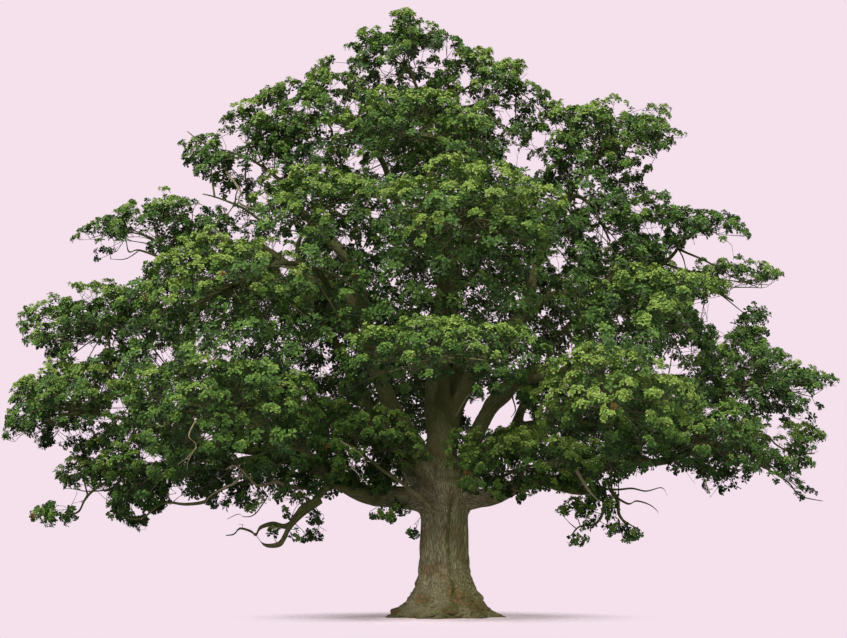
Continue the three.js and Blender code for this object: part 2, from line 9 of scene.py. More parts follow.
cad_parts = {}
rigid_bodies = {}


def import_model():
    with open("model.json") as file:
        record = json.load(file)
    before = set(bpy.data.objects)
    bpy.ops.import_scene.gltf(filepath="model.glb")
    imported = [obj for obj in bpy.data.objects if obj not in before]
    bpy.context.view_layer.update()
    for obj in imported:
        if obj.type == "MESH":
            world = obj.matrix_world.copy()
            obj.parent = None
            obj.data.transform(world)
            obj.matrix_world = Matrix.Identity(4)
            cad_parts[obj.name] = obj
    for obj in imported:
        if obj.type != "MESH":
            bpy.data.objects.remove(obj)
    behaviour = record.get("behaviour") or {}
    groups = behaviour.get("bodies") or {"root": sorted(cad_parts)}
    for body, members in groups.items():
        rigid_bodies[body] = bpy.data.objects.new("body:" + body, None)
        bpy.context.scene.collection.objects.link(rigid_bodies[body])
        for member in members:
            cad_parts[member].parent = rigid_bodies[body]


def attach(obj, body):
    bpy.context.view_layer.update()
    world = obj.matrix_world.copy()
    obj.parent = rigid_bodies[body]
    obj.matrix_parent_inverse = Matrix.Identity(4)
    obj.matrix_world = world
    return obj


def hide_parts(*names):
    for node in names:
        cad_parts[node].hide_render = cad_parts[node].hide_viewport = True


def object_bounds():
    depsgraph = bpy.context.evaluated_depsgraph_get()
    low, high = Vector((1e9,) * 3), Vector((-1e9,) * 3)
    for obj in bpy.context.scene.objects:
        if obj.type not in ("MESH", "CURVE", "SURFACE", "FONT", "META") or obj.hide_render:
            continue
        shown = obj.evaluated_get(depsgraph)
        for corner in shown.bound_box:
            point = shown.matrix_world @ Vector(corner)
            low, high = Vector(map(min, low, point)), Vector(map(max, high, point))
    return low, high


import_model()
cad_box = [list(corner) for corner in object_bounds()]


# The growth of the wood. An oak forks and forks again: each limb leaves the trunk or another
# limb, bends through a point halfway and ends in a tip that carries masses of foliage. The
# lines of growth are the solids' own, with the smaller crooks of real boughs added.
LIMB_WOBBLE = 0.035  # slow sideways bends, as a share of the limb's length
CROOK = 0.10  # how far the small crooks of a bough go to the side
CROOK_SPACING = 1.1
COLLAR = 1.25  # how much a limb swells where it leaves its parent
GOLDEN_ANGLE = math.pi * (3 - math.sqrt(5))

LIMBS = {
    "centre_stem": dict(
        root=(0, 0, 3.6), via=(-0.15, 0.2, 10), tip=(-0.5, 0.5, 16), radii=(0.52, 0.13),
        carries=("crown_top", "top_back", "top_right"), wood="stems",
    ),
    "left_stem": dict(
        root=(-0.3, -0.15, 3.6), via=(-2.5, -1.1, 9.3), tip=(-5, -0.5, 13.5), radii=(0.35, 0.11),
        carries=("upper_left",), wood="left_boughs",
    ),
    "left_low_bough": dict(
        root=(-0.25, -0.05, 3.55), via=(-4.3, -0.7, 4.55), tip=(-9.2, -1.1, 5.9), radii=(0.36, 0.11),
        carries=("left_far_lower",), wood="left_boughs",
    ),
    "right_low_bough": dict(
        root=(0.3, -0.1, 3.6), via=(2.8, -1.3, 4), tip=(4.7, -2.2, 3.85), radii=(0.34, 0.13),
        carries=("right_hanging",), wood="right_boughs",
    ),
    "right_arch": dict(
        root=(0.35, 0.05, 3.9), via=(2.7, 0.2, 7.25), tip=(7.6, -0.5, 7), radii=(0.3, 0.11),
        carries=("right_far",), wood="right_boughs",
    ),
    "back_stem": dict(
        root=(0, 0.3, 3.7), via=(0.3, 2.7, 8.6), tip=(0.6, 4.7, 11.9), radii=(0.35, 0.11),
        carries=("back_high",), wood="back_boughs",
    ),
    "back_left_bough": dict(
        root=(-0.25, 0.25, 3.7), via=(-2.8, 3, 6.3), tip=(-4.8, 5.8, 6.8), radii=(0.33, 0.11),
        carries=("back_low_left",), wood="back_boughs",
    ),
    "back_right_bough": dict(
        root=(0.25, 0.25, 3.7), via=(2.8, 3, 6.3), tip=(4.8, 5.8, 6.8), radii=(0.33, 0.11),
        carries=("back_low_right",), wood="back_boughs",
    ),
    "right_stem": dict(
        parent="centre_stem", share=0.12, via=(2.1, 0.5, 9.6), tip=(4.1, 0.4, 13.5),
        radii=(0.29, 0.11), carries=("upper_right", "inner_right"), wood="stems",
    ),
    "front_limb": dict(
        parent="centre_stem", share=0.23, via=(-0.1, -3.2, 7.6), tip=(-0.1, -6.1, 7.6),
        radii=(0.17, 0.085), carries=("centre_front",), wood="stems",
    ),
    "front_high_limb": dict(
        parent="centre_stem", share=0.4, via=(0.3, -2.4, 10.5), tip=(0.5, -4.3, 11.1),
        radii=(0.17, 0.085), carries=("front_high",), wood="stems",
    ),
    "top_left_limb": dict(
        parent="centre_stem", share=0.62, via=(-1.5, -0.7, 13.5), tip=(-2.4, -1.5, 14.9),
        radii=(0.15, 0.085), carries=("top_left", "top_front"), wood="stems",
    ),
    "left_mid_limb": dict(
        parent="left_stem", share=0.56, via=(-5.5, -0.1, 11.5), tip=(-8, 0.6, 11.3),
        radii=(0.16, 0.085), carries=("mid_left", "left_far_upper"), wood="left_boughs",
    ),
    "left_front_limb": dict(
        parent="left_stem", share=0.42, via=(-3.5, -2.7, 9.9), tip=(-4.3, -4, 10.5),
        radii=(0.16, 0.085), carries=("left_bright", "front_left_high"), wood="left_boughs",
    ),
    "drooping_limb": dict(
        parent="left_low_bough", share=0.2, via=(-3.3, -1.8, 3.9), tip=(-4.3, -2.5, 3.25),
        radii=(0.19, 0.075), carries=("drooping_sprigs",), wood="left_boughs",
    ),
    "left_low_front_limb": dict(
        parent="left_low_bough", share=0.33, via=(-4.2, -3.2, 4.9), tip=(-5.1, -5.2, 5.3),
        radii=(0.16, 0.085), carries=("left_front_low",), wood="left_boughs",
    ),
    "left_low_outer_limb": dict(
        parent="left_low_bough", share=0.5, via=(-6.7, -0.4, 4.7), tip=(-8.2, -0.2, 4.45),
        radii=(0.13, 0.08), carries=("left_low_tip", "left_low_mid"), wood="left_boughs",
    ),
    "right_low_outer_limb": dict(
        parent="right_low_bough", share=0.72, via=(6, -1.9, 4.7), tip=(7.9, -1.7, 5.2),
        radii=(0.18, 0.09), carries=("right_low_far", "right_low_mid"), wood="right_boughs",
    ),
    "right_front_limb": dict(
        parent="right_arch", share=0.32, via=(3.3, -3, 7.5), tip=(4.3, -5.4, 7.3),
        radii=(0.17, 0.09), carries=("right_bright", "right_front"), wood="right_boughs",
    ),
    "right_mid_limb": dict(
        parent="right_stem", share=0.5, via=(4.7, 0.8, 10.7), tip=(6.9, 1.2, 11.3),
        radii=(0.16, 0.085), carries=("mid_right", "right_outer"), wood="stems",
    ),
    "back_low_limb": dict(
        parent="back_stem", share=0.35, via=(-0.3, 5, 7.5), tip=(-1.1, 7.7, 8),
        radii=(0.17, 0.09), carries=("back_low_middle",), wood="back_boughs",
    ),
    "back_left_limb": dict(
        parent="back_left_bough", share=0.45, via=(-3.3, 3.3, 8.3), tip=(-4, 3.7, 9.8),
        radii=(0.16, 0.085), carries=("back_left", "inner_left"), wood="back_boughs",
    ),
    "back_right_limb": dict(
        parent="back_right_bough", share=0.45, via=(3.5, 3.6, 8.4), tip=(4.5, 4.3, 9.9),
        radii=(0.16, 0.085), carries=("back_right",), wood="back_boughs",
    ),
}

# The masses of foliage: the middle of each, its radii, the tips that stand out of it, and
# how much painted sunlight its leaves get, from 0 to 1, which gives them lighter, yellower tints.
MASSES = {
    "crown_top": ((-1.3, 0, 18.05), (1.95, 2.1, 1.75), [(-1.26, 0, 20)], 0.38),
    "top_right": ((1.35, 0.3, 16.6), (2, 2.2, 1.7), [(1.25, 0.2, 18.8), (2.95, 0.4, 18.1)], 0.45),
    "top_left": ((-3.95, -0.6, 15.9), (2.15, 2.3, 1.65), [(-3.9, -0.4, 18.25), (-5.8, -0.4, 16.8)], 0.42),
    "top_back": ((-0.4, 3.9, 16), (2.9, 2.4, 1.9), [], 0.4),
    "top_front": ((-1.1, -3.5, 14.5), (2.6, 2.2, 1.5), [], 0.45),
    "upper_left": ((-6.5, 0.2, 14.9), (2.25, 2.5, 1.7), [(-8.65, 0.2, 15.45)], 0.1),
    "upper_right": ((5.35, 0.4, 15.25), (2.75, 2.6, 1.8), [(7.95, 0.4, 16.25), (3.95, 0.4, 17)], 0.5),
    "inner_right": ((5.5, 0.6, 12.1), (2.15, 2.3, 1.35), [], 0.2),
    "back_high": ((1.3, 7, 13), (3.3, 2.8, 2), [], 0.4),
    "front_high": ((0.7, -6.5, 11.4), (2.6, 2.4, 1.45), [], 0.95),
    "front_left_high": ((-3.7, -4.6, 12), (2, 2.1, 1.3), [], 0.6),
    "mid_left": ((-9.5, 0.8, 12.3), (2.65, 2.5, 1.4), [(-12.25, 0.6, 12.35), (-9.6, 0.7, 14.2)], 0.12),
    "mid_right": ((8, 0.3, 12.5), (2.25, 2.5, 1.5), [(9.9, 0.3, 12.7)], 0.08),
    "right_outer": ((9.7, 1.7, 10.3), (1.8, 2.5, 1.3), [(11.45, 1.7, 11.25)], 0.12),
    "left_bright": ((-6.2, -5.6, 9.4), (2.6, 2.5, 1.5), [], 0.8),
    "right_front": ((6.2, -4.7, 8.9), (2.4, 2.3, 1.25), [], 0.5),
    "centre_front": ((-0.1, -8.4, 7.05), (2.9, 2.4, 0.95), [], 0.36),
    "right_bright": ((4.4, -8, 6), (2, 2.3, 1.35), [], 0.95),
    "right_far": ((10, -0.6, 7.4), (2.6, 3, 1.6), [(12.6, -0.3, 7.4), (11.55, 0.2, 9.75)], 0.15),
    "left_far_upper": (
        (-11.1, 0.7, 9.1), (2.65, 2.8, 1.55), [(-13.95, 0.7, 9.65), (-12.9, 0.5, 8.5)], 0.32,
    ),
    "left_far_lower": ((-11.35, -1.3, 6.35), (2.5, 2.9, 1.4), [(-13.8, -1, 5.55), (-13.6, -1, 7.3)], 0.32),
    "left_low_tip": ((-10.9, 0.7, 3.95), (2.25, 2.1, 0.95), [(-13.35, 0.7, 3.12), (-9.95, 0.2, 2.72)], 0.3),
    "left_front_low": ((-6.1, -7, 5.8), (2.75, 2.6, 1.5), [], 0.3),
    "left_low_mid": ((-7.9, -2.5, 4.5), (2.5, 2.4, 1.05), [], 0.22),
    "right_low_far": ((10.3, 0.4, 4.9), (2.25, 2.7, 1.15), [(12.1, 0.3, 3.65), (12.35, 0.4, 5.7)], 0.3),
    "right_low_mid": ((7.2, -3.9, 5.2), (2.5, 2.5, 1.15), [], 0.35),
    "right_hanging": ((4.9, -2.5, 2.95), (1.6, 1.5, 0.85), [(5.8, -2.5, 2.35), (4, -2.5, 3)], 0.3),
    "near_left": ((-3, -2.3, 5.3), (2.3, 1.9, 1.05), [], 0.3),
    "near_right": ((2.7, -3.4, 4.55), (2.2, 1.8, 0.95), [], 0.5),
    "drooping_sprigs": ((-4.6, -3, 2.9), (1.3, 1.1, 0.7), [(-5.35, -2.8, 2.2), (-3.8, -2.5, 2.35)], 0.25),
    "back_low_left": ((-6.6, 7.9, 6.8), (3.5, 3.1, 1.9), [], 0.4),
    "back_low_right": ((7.1, 7.9, 6.8), (3.3, 3.1, 1.9), [], 0.4),
    "back_low_middle": ((-1.5, 10.2, 8.3), (3, 2.8, 1.8), [], 0.5),
    "back_left": ((-5.7, 5.4, 11.2), (3, 2.9, 1.9), [], 0.4),
    "back_right": ((5.8, 5.6, 11), (3.1, 2.9, 1.9), [], 0.4),
    "inner_left": ((-2.9, 1.9, 9.7), (2, 2, 1.7), [], 0.15),
}

# These masses grow on the trunk itself: where each stem starts in it, and the way it faces.
TRUNK_SPRIGS = {
    "near_right": ((0.45, -0.45, 3.7), (0.6, -0.7, 0.35), "right_boughs"),
    "near_left": ((-0.33, -0.56, 3.35), (-0.5, -0.8, 0.35), "left_boughs"),
}
STEM_RADII = (0.085, 0.035)  # of the stem that runs into a mass, at its start and its middle


def unit(vector):
    vector = np.asarray(vector, float)
    return vector / np.maximum(np.linalg.norm(vector, axis=-1, keepdims=True), 1e-9)


def smooth_step(value, low, high):
    share = np.clip((value - low) / (high - low), 0, 1)
    return share * share * (3 - 2 * share)


def seeded(seed):
    """The same run of numbers from the same seed, each from 0 to 1."""
    state = seed

    def draw():
        nonlocal state
        state = (state * 1664525 + 1013904223) % 2**32
        return state / 2**32

    return draw


noise.seed_set(7)  # its vectors change with the clock until they are given a seed


def crooked(points, amount, seed):
    """A line with small sideways crooks, which fade out at both its ends."""
    steps = np.linalg.norm(np.diff(points, axis=0), axis=1)
    run = np.concatenate([[0], np.cumsum(steps)])
    fade = np.clip(np.minimum(run, run[-1] - run) / CROOK_SPACING, 0, 1)
    turns = [noise.noise_vector(Vector((place / CROOK_SPACING, seed * 7.3, 0.5))) for place in run]
    return points + np.array(turns) * (amount * fade)[:, None]


class Bone:
    """A line of wood: its points and its radius at each, with places on it told as shares."""

    def __init__(self, points, radii):
        self.points = np.asarray(points, float)
        self.radii = np.asarray(radii, float)
        steps = np.linalg.norm(np.diff(self.points, axis=0), axis=1)
        self.run = np.concatenate([[0], np.cumsum(steps)])
        heading = unit(self.points[-1] - self.points[0])
        helper = np.eye(3)[np.argmin(np.abs(heading))]
        self.side = unit(np.cross(heading, helper))
        self.over = np.cross(heading, self.side)

    def at(self, share):
        place = np.asarray(share) * self.run[-1]
        return np.stack([np.interp(place, self.run, self.points[:, k]) for k in range(3)], -1)

    def heading(self, share):
        return unit(self.at(min(share + 0.02, 1)) - self.at(max(share - 0.02, 0)))

    def cut(self, start, end):
        """The part of the bone between two lengths from its root."""
        places = np.linspace(start / self.run[-1], min(end / self.run[-1], 1), 16)
        return Bone(self.at(places), np.interp(places * self.run[-1], self.run, self.radii))

    def near(self, places):
        """From the line to each place: the step, the distance beyond the wood, and the run."""
        steps = np.diff(self.points, axis=0)
        reach = places[:, None] - self.points[None, :-1]
        share = np.clip((reach * steps).sum(2) / (steps * steps).sum(1), 0, 1)
        gap = reach - share[:, :, None] * steps
        best = (gap * gap).sum(2).argmin(1)
        row = np.arange(len(places))
        run = self.run[best] + share[row, best] * (self.run[best + 1] - self.run[best])
        step = gap[row, best]
        radius = np.interp(run, self.run, self.radii)
        return step, np.linalg.norm(step, axis=1) - radius, run, radius


def limb_points(root, via, tip, seed):
    """The solids' own curve: a bend through a point, with slow waves that fade at the ends."""
    root, via, tip = (np.array(point, float) for point in (root, via, tip))
    t = np.linspace(0, 1, 61)[:, None]
    along = tip - root
    bend = np.linalg.norm(along) * LIMB_WOBBLE
    side = unit([-along[1], along[0], 0]) if along[:2].any() else np.array([1.0, 0, 0])
    lift = np.cross(unit(along), side)
    draw = seeded(seed)
    first = draw() * 2 * math.pi
    second = draw() * 2 * math.pi
    fade = 4 * t * (1 - t)
    sway = np.sin(2.2 * math.pi * t + first) * bend * fade
    rise = np.sin(2.7 * math.pi * t + second) * bend * fade
    control = 2 * via - (root + tip) / 2
    bent = root * (1 - t) ** 2 + control * 2 * t * (1 - t) + tip * t**2
    return bent + side * sway + lift * rise


def limb_radius(radii, t):
    collar = (COLLAR - 1) * np.maximum(0, 1 - t * 6)
    return (radii[1] + (radii[0] - radii[1]) * (1 - t) ** 1.1) * (1 + collar)


bones = {}
for index, (name, limb) in enumerate(LIMBS.items()):
    start = bones[limb["parent"]].at(limb["share"]) if "parent" in limb else limb["root"]
    line = limb_points(start, limb["via"], limb["tip"], index + 11)
    even = Bone(line, np.ones(len(line))).at(np.linspace(0, 1, 45))
    line = crooked(even, CROOK, index)
    bones[name] = Bone(line, limb_radius(limb["radii"], np.linspace(0, 1, 45)))


def stem_starts():
    """Where each mass's stem starts: on its limb's tip, evenly round it where several do."""
    starts = {}
    for carried, (start, facing, _) in TRUNK_SPRIGS.items():
        starts[carried] = (np.array(start), unit(facing))
    for name, limb in LIMBS.items():
        facing = bones[name].heading(1)
        tip = bones[name].points[-1]
        side = unit(np.cross(facing, (0, 0.1, 1)))
        over = np.cross(facing, side)
        towards = {carried: np.array(MASSES[carried][0]) - tip for carried in limb["carries"]}
        angles = {carried: math.atan2(way @ over, way @ side) for carried, way in towards.items()}
        order = sorted(angles, key=angles.get)
        step = 2 * math.pi / len(order)
        base = sum(angles[carried] - i * step for i, carried in enumerate(order)) / len(order)
        out = limb["radii"][1] * (0, 0.72, 0.62)[len(order) - 1]
        for i, carried in enumerate(order):
            angle = base + i * step
            offset = side * math.cos(angle) * out + over * math.sin(angle) * out
            starts[carried] = (tip + offset, facing)
    return starts


mass_stems = {}
for index, (name, (start, facing)) in enumerate(stem_starts().items()):
    centre = np.array(MASSES[name][0])
    lead = start + facing * np.linalg.norm(centre - start) * 0.4
    t = np.linspace(0, 1, 21)[:, None]
    line = (start - facing * 0.12) * (1 - t) ** 2 + lead * 2 * t * (1 - t) + centre * t**2
    radii = STEM_RADII[1] + (STEM_RADII[0] - STEM_RADII[1]) * (1 - t[:, 0])
    mass_stems[name] = Bone(crooked(line, CROOK * 0.7, index + 50), radii)


# The trunk and the boughs in their bark. Old oak bark is thick, grey and split by long dark
# furrows into ridges that run with the wood. The trunk is fluted under its boughs and folded
# down the front, and spreads at the ground into seven roots. It ends in a flat cut there.
TRUNK_RADIUS = 0.73
FLARE_RADIUS = 0.95
FLARE_HEIGHT = 0.56
ROOT_COUNT = 7
ROOT_RELIEF = 0.13
HEAD_START, HEAD_HEIGHT, TRUNK_HEIGHT = 3.0, 3.9, 4.7
HEAD_SWELL = 0.19
HEAD_TOP = 4.35  # above this the trunk is closed by a low dome
FOLD_ANGLE = -1.31  # the fold faces the front, a little right of the middle
FOLD_DEPTH = 0.075
FOOT_LUMPS = 0.45  # burrs and knuckles over the roots
FOOT_HEIGHT = 0.75
FILLET = 0.055  # how softly wood runs into wood at a fork
STUB_LENGTH = 1.75  # how much of each bough is part of the trunk's own piece
BARK_REACH = 1.1  # how far the boughs' bark goes on along the stems of the masses
TUCK = 0.04  # where two pieces overlap, the end of each dives this far under the other
END_TUCK = 0.2  # how far the end of a stub on the trunk's piece dives under the bough
COLUMN_SIDES, COLUMN_RINGS = 72, 60
STUB_SIDES, BOUGH_SIDES = 20, 16
BARK_DEPTH = 0.026  # from furrow to ridge on the trunk
FURROWS_ACROSS, FURROWS_ALONG = 12, 1.1  # how close the furrows lie, in each direction
RIDGE_LEVEL = 0.75  # the height in the relief that stays on the wood's own surface
FOLD_WIDTH = 0.10
FOLD_FOOT, FOLD_HEAD = (0.2, 0.7), (3.3, 3.9)  # heights over which the fold starts and ends
BONE_REACH = 0.45  # how far beyond its own wood a bone is looked for
TRUNK_GRAIN, BOUGH_GRAIN = 0.0295, 0.046  # the mesh sizes of the bark


def trunk_radius(height, angle):
    flare = np.exp(-height / FLARE_HEIGHT)
    ridges = np.cos(ROOT_COUNT * angle + 0.7 * np.sin(2 * angle + 1))
    swell = smooth_step(height, HEAD_START, HEAD_HEIGHT) * HEAD_SWELL
    dome = smooth_step(height, HEAD_HEIGHT, TRUNK_HEIGHT)
    column = TRUNK_RADIUS + FLARE_RADIUS * flare + swell
    return column * (1 + ROOT_RELIEF * ridges * flare) * (1 - 0.62 * dome**2)


class TrunkBone:
    """The trunk as a bone: a straight line whose radius changes with height and angle."""

    side, over = np.array([1.0, 0, 0]), np.array([0, 1.0, 0])

    def near(self, places):
        height = np.clip(places[:, 2], -0.1, HEAD_TOP)
        step = places.copy()
        step[:, 2] = np.maximum(places[:, 2] - HEAD_TOP, 0) * 2
        angle = np.arctan2(places[:, 1], places[:, 0])
        radius = trunk_radius(np.maximum(height, 0), angle)
        return step, np.linalg.norm(step, axis=1) - radius, height, radius


def ringed_faces(rings, sides):
    """The faces between rings of corners, and one face over each end."""
    faces = []
    for low in range(0, (rings - 1) * sides, sides):
        for k in range(sides):
            following = (k + 1) % sides
            faces.append((low + k, low + following, low + sides + following, low + sides + k))
    faces.append(tuple(reversed(range(sides))))
    faces.append(tuple(range((rings - 1) * sides, rings * sides)))
    return faces


def tube(points, radii, sides):
    """A closed tube round a line: rings of corners, and a flat end at each end."""
    heading = unit(np.gradient(points, axis=0))
    helper = np.eye(3)[np.argmin(np.abs(heading).max(0))]
    side = unit(np.cross(heading, helper))
    over = np.cross(heading, side)
    turn = np.linspace(0, 2 * math.pi, sides, endpoint=False)
    out = side[:, None] * np.cos(turn)[None, :, None] + over[:, None] * np.sin(turn)[None, :, None]
    corners = points[:, None] + out * np.asarray(radii)[:, None, None]
    return corners.reshape(-1, 3), ringed_faces(len(points), sides)


def remeshed(name, shapes, size):
    """One even closed skin over several closed shapes."""
    corners, faces, count = [], [], 0
    for places, loops in shapes:
        corners.append(places)
        faces += [tuple(corner + count for corner in loop) for loop in loops]
        count += len(places)
    mesh = bpy.data.meshes.new(name)
    mesh.from_pydata(np.concatenate(corners).tolist(), [], faces)
    piece = bpy.data.objects.new(name, mesh)
    bpy.context.scene.collection.objects.link(piece)
    skin = piece.modifiers.new("skin", "REMESH")
    skin.mode = "VOXEL"
    skin.voxel_size = size
    graph = bpy.context.evaluated_depsgraph_get()
    piece.data = bpy.data.meshes.new_from_object(piece.evaluated_get(graph))
    piece.data.name = name
    piece.modifiers.clear()
    return piece


def places_of(mesh):
    flat = np.empty(len(mesh.vertices) * 3)
    mesh.vertices.foreach_get("co", flat)
    return flat.reshape(-1, 3)


def on_the_wood(places, wood):
    """How far each place is from the blended surface, the way out, and the nearest bone's facts."""
    count = len(places)
    total = np.full(count, 1e-30)
    pull = np.zeros((count, 3))
    nearest = np.full(count, 1e3)
    second = np.full(count, 1e3)
    grain = np.zeros((count, 3))
    run = np.zeros(count)
    thick = np.full(count, 0.05)
    owner = np.full(count, -1)
    for index, bone in enumerate(wood):
        close = np.ones(count, bool)
        if isinstance(bone, Bone):
            margin = bone.radii.max() + BONE_REACH
            low, high = bone.points.min(0) - margin, bone.points.max(0) + margin
            close = ((places > low) & (places < high)).all(1)
        if not close.any():
            continue
        step, distance, along, radius = bone.near(places[close])
        weight = np.exp(-np.clip(distance, -1.2, 1.2) / FILLET)
        total[close] += weight
        pull[close] += weight[:, None] * unit(step)
        here = np.where(close)[0]
        better = distance < nearest[here]
        second[here] = np.where(better, nearest[here], np.minimum(second[here], distance))
        here, step, radius, along = here[better], step[better], radius[better], along[better]
        nearest[here] = distance[better]
        angle = np.arctan2(step @ bone.over, step @ bone.side)
        across = np.stack([np.cos(angle) * radius, np.sin(angle) * radius, along], 1)
        grain[here] = across
        run[here] = along
        thick[here] = radius
        owner[here] = index
    depth = -FILLET * np.log(total)
    return depth, pull / total[:, None], grain, run, thick, owner, second - nearest


def keep(mesh, name, kind, field, numbers):
    """Keeps a value for each corner of a mesh under a name that materials and nodes read."""
    kept = mesh.attributes.new(name, kind, "POINT")
    kept.data.foreach_set(field, numbers.ravel())


def bark_relief(grain, thick):
    """Ridges and furrows that run with the wood, 1 on a ridge and 0 in a furrow."""
    heights = np.empty(len(grain))
    for i, (across, over, along) in enumerate(grain):
        place = Vector((across * FURROWS_ACROSS, over * FURROWS_ACROSS, along * FURROWS_ALONG))
        place += noise.noise_vector(place * 0.5) * 0.5
        near, far = noise.voronoi(place)[0][:2]
        lumps = noise.noise(Vector((across * 3, over * 3, along * FURROWS_ALONG)))
        heights[i] = min(1.0, (far - near) * 2.6) + lumps * 0.7
    return heights


def coat(piece, wood, trunk_stubs=()):
    """Draws a skin onto the blended wood, gives it the bark's relief and keeps its grain."""
    mesh = piece.data
    places = places_of(mesh)
    for _ in range(2):
        depth, out, *_ = on_the_wood(places, wood)
        places -= out * (np.clip(depth, -0.15, 0.15) / np.maximum((out * out).sum(1), 0.2))[:, None]
    depth, out, grain, run, thick, owner, apart = on_the_wood(places, wood)
    height = bark_relief(grain, thick)
    depth_of_bark = BARK_DEPTH * np.clip(thick / TRUNK_RADIUS, 0.12, 1) ** 0.8
    fork = smooth_step(apart, 0, 0.12)
    shift = (height - RIDGE_LEVEL) * depth_of_bark * (0.35 + 0.65 * fork)
    on_trunk = np.array([isinstance(wood[k], TrunkBone) for k in owner])
    angle = np.arctan2(places[:, 1], places[:, 0])
    wander = FOLD_ANGLE + 0.07 * np.sin(2.1 * places[:, 2])
    fold = np.exp(-(((angle - wander) / FOLD_WIDTH) ** 2)) * smooth_step(places[:, 2], *FOLD_FOOT)
    fold *= 1 - smooth_step(places[:, 2], *FOLD_HEAD)
    flutes = 0.022 * np.cos(5 * angle + 1.1) + 0.014 * np.cos(8 * angle + 0.4 * places[:, 2])
    lumps = np.array([abs(noise.noise(Vector(place) * 2.3)) + 0.5 * abs(noise.noise(Vector(place) * 6))
                      for place in places]) - 0.22
    foot = np.exp(-places[:, 2] / FOOT_HEIGHT)
    shift += on_trunk * (flutes - FOLD_DEPTH * fold + FOOT_LUMPS * lumps * foot)
    ragged = run + np.array([noise.noise(Vector(place) * 2.5) for place in places]) * 0.5
    for bone, inwards in trunk_stubs:
        tucked = owner == bone
        low, high = (STUB_LENGTH - 0.4, STUB_LENGTH) if inwards else (STUB_LENGTH - 0.75, STUB_LENGTH - 0.4)
        share = smooth_step(ragged, low, high)
        shift -= tucked * TUCK * (share if inwards else 1 - share)
        if inwards:
            shift -= tucked * END_TUCK * smooth_step(run, STUB_LENGTH - 0.5, STUB_LENGTH - 0.08)
    places += unit(out) * shift[:, None]
    mesh.vertices.foreach_set("co", places.ravel())
    keep(mesh, "grain", "FLOAT_VECTOR", "vector", grain)
    wear = np.stack([np.clip(height, 0, 1), on_trunk * fold, on_trunk * np.exp(-places[:, 2] / 0.9)], 1)
    keep(mesh, "wear", "FLOAT_VECTOR", "vector", wear)
    mesh.polygons.foreach_set("use_smooth", np.ones(len(mesh.polygons), bool))
    mesh.update()


def flat_cut(piece):
    """Cuts a piece off at the ground and closes it there."""
    model = bmesh.new()
    model.from_mesh(piece.data)
    everything = model.verts[:] + model.edges[:] + model.faces[:]
    cut = bmesh.ops.bisect_plane(
        model, geom=everything, plane_co=(0, 0, 0), plane_no=(0, 0, 1), clear_inner=True
    )
    rim = [part for part in cut["geom_cut"] if isinstance(part, bmesh.types.BMEdge)]
    bmesh.ops.holes_fill(model, edges=rim)
    model.to_mesh(piece.data)
    model.free()


def feed(tree, node, sockets):
    """Gives a node's inputs plain values, or links them to the outputs that are passed."""
    for key, value in sockets.items():
        if isinstance(value, bpy.types.NodeSocket):
            tree.links.new(value, node.inputs[key])
        elif value is not None:
            node.inputs[key].default_value = value


def add(tree, kind, *takes, **values):
    """A node. Takes go to its inputs in order; values are its settings, or inputs by name."""
    node = tree.nodes.new(kind)
    settings = [key for key in values if hasattr(node, key)]
    for key in settings:
        setattr(node, key, values.pop(key))
    feed(tree, node, dict(enumerate(takes)))
    feed(tree, node, {key.replace("_", " "): value for key, value in values.items()})
    return node


def mixed(tree, share, first, second):
    """A colour mix whose share, first and second are outputs or plain values."""
    return add(tree, "ShaderNodeMix", share, *[None] * 5, first, second, data_type="RGBA").outputs[2]


def sloped(tree, value, low, high):
    """Rises smoothly from 0 to 1 as an output's value goes from low to high."""
    return add(tree, "ShaderNodeMapRange", value, low, high, interpolation_type="SMOOTHSTEP").outputs[0]


def times(tree, first, second):
    return add(tree, "ShaderNodeMath", first, second, operation="MULTIPLY").outputs[0]


def fresh_material(name):
    material = bpy.data.materials.new(name)
    material.use_nodes = True
    return material, material.node_tree, material.node_tree.nodes["Principled BSDF"]


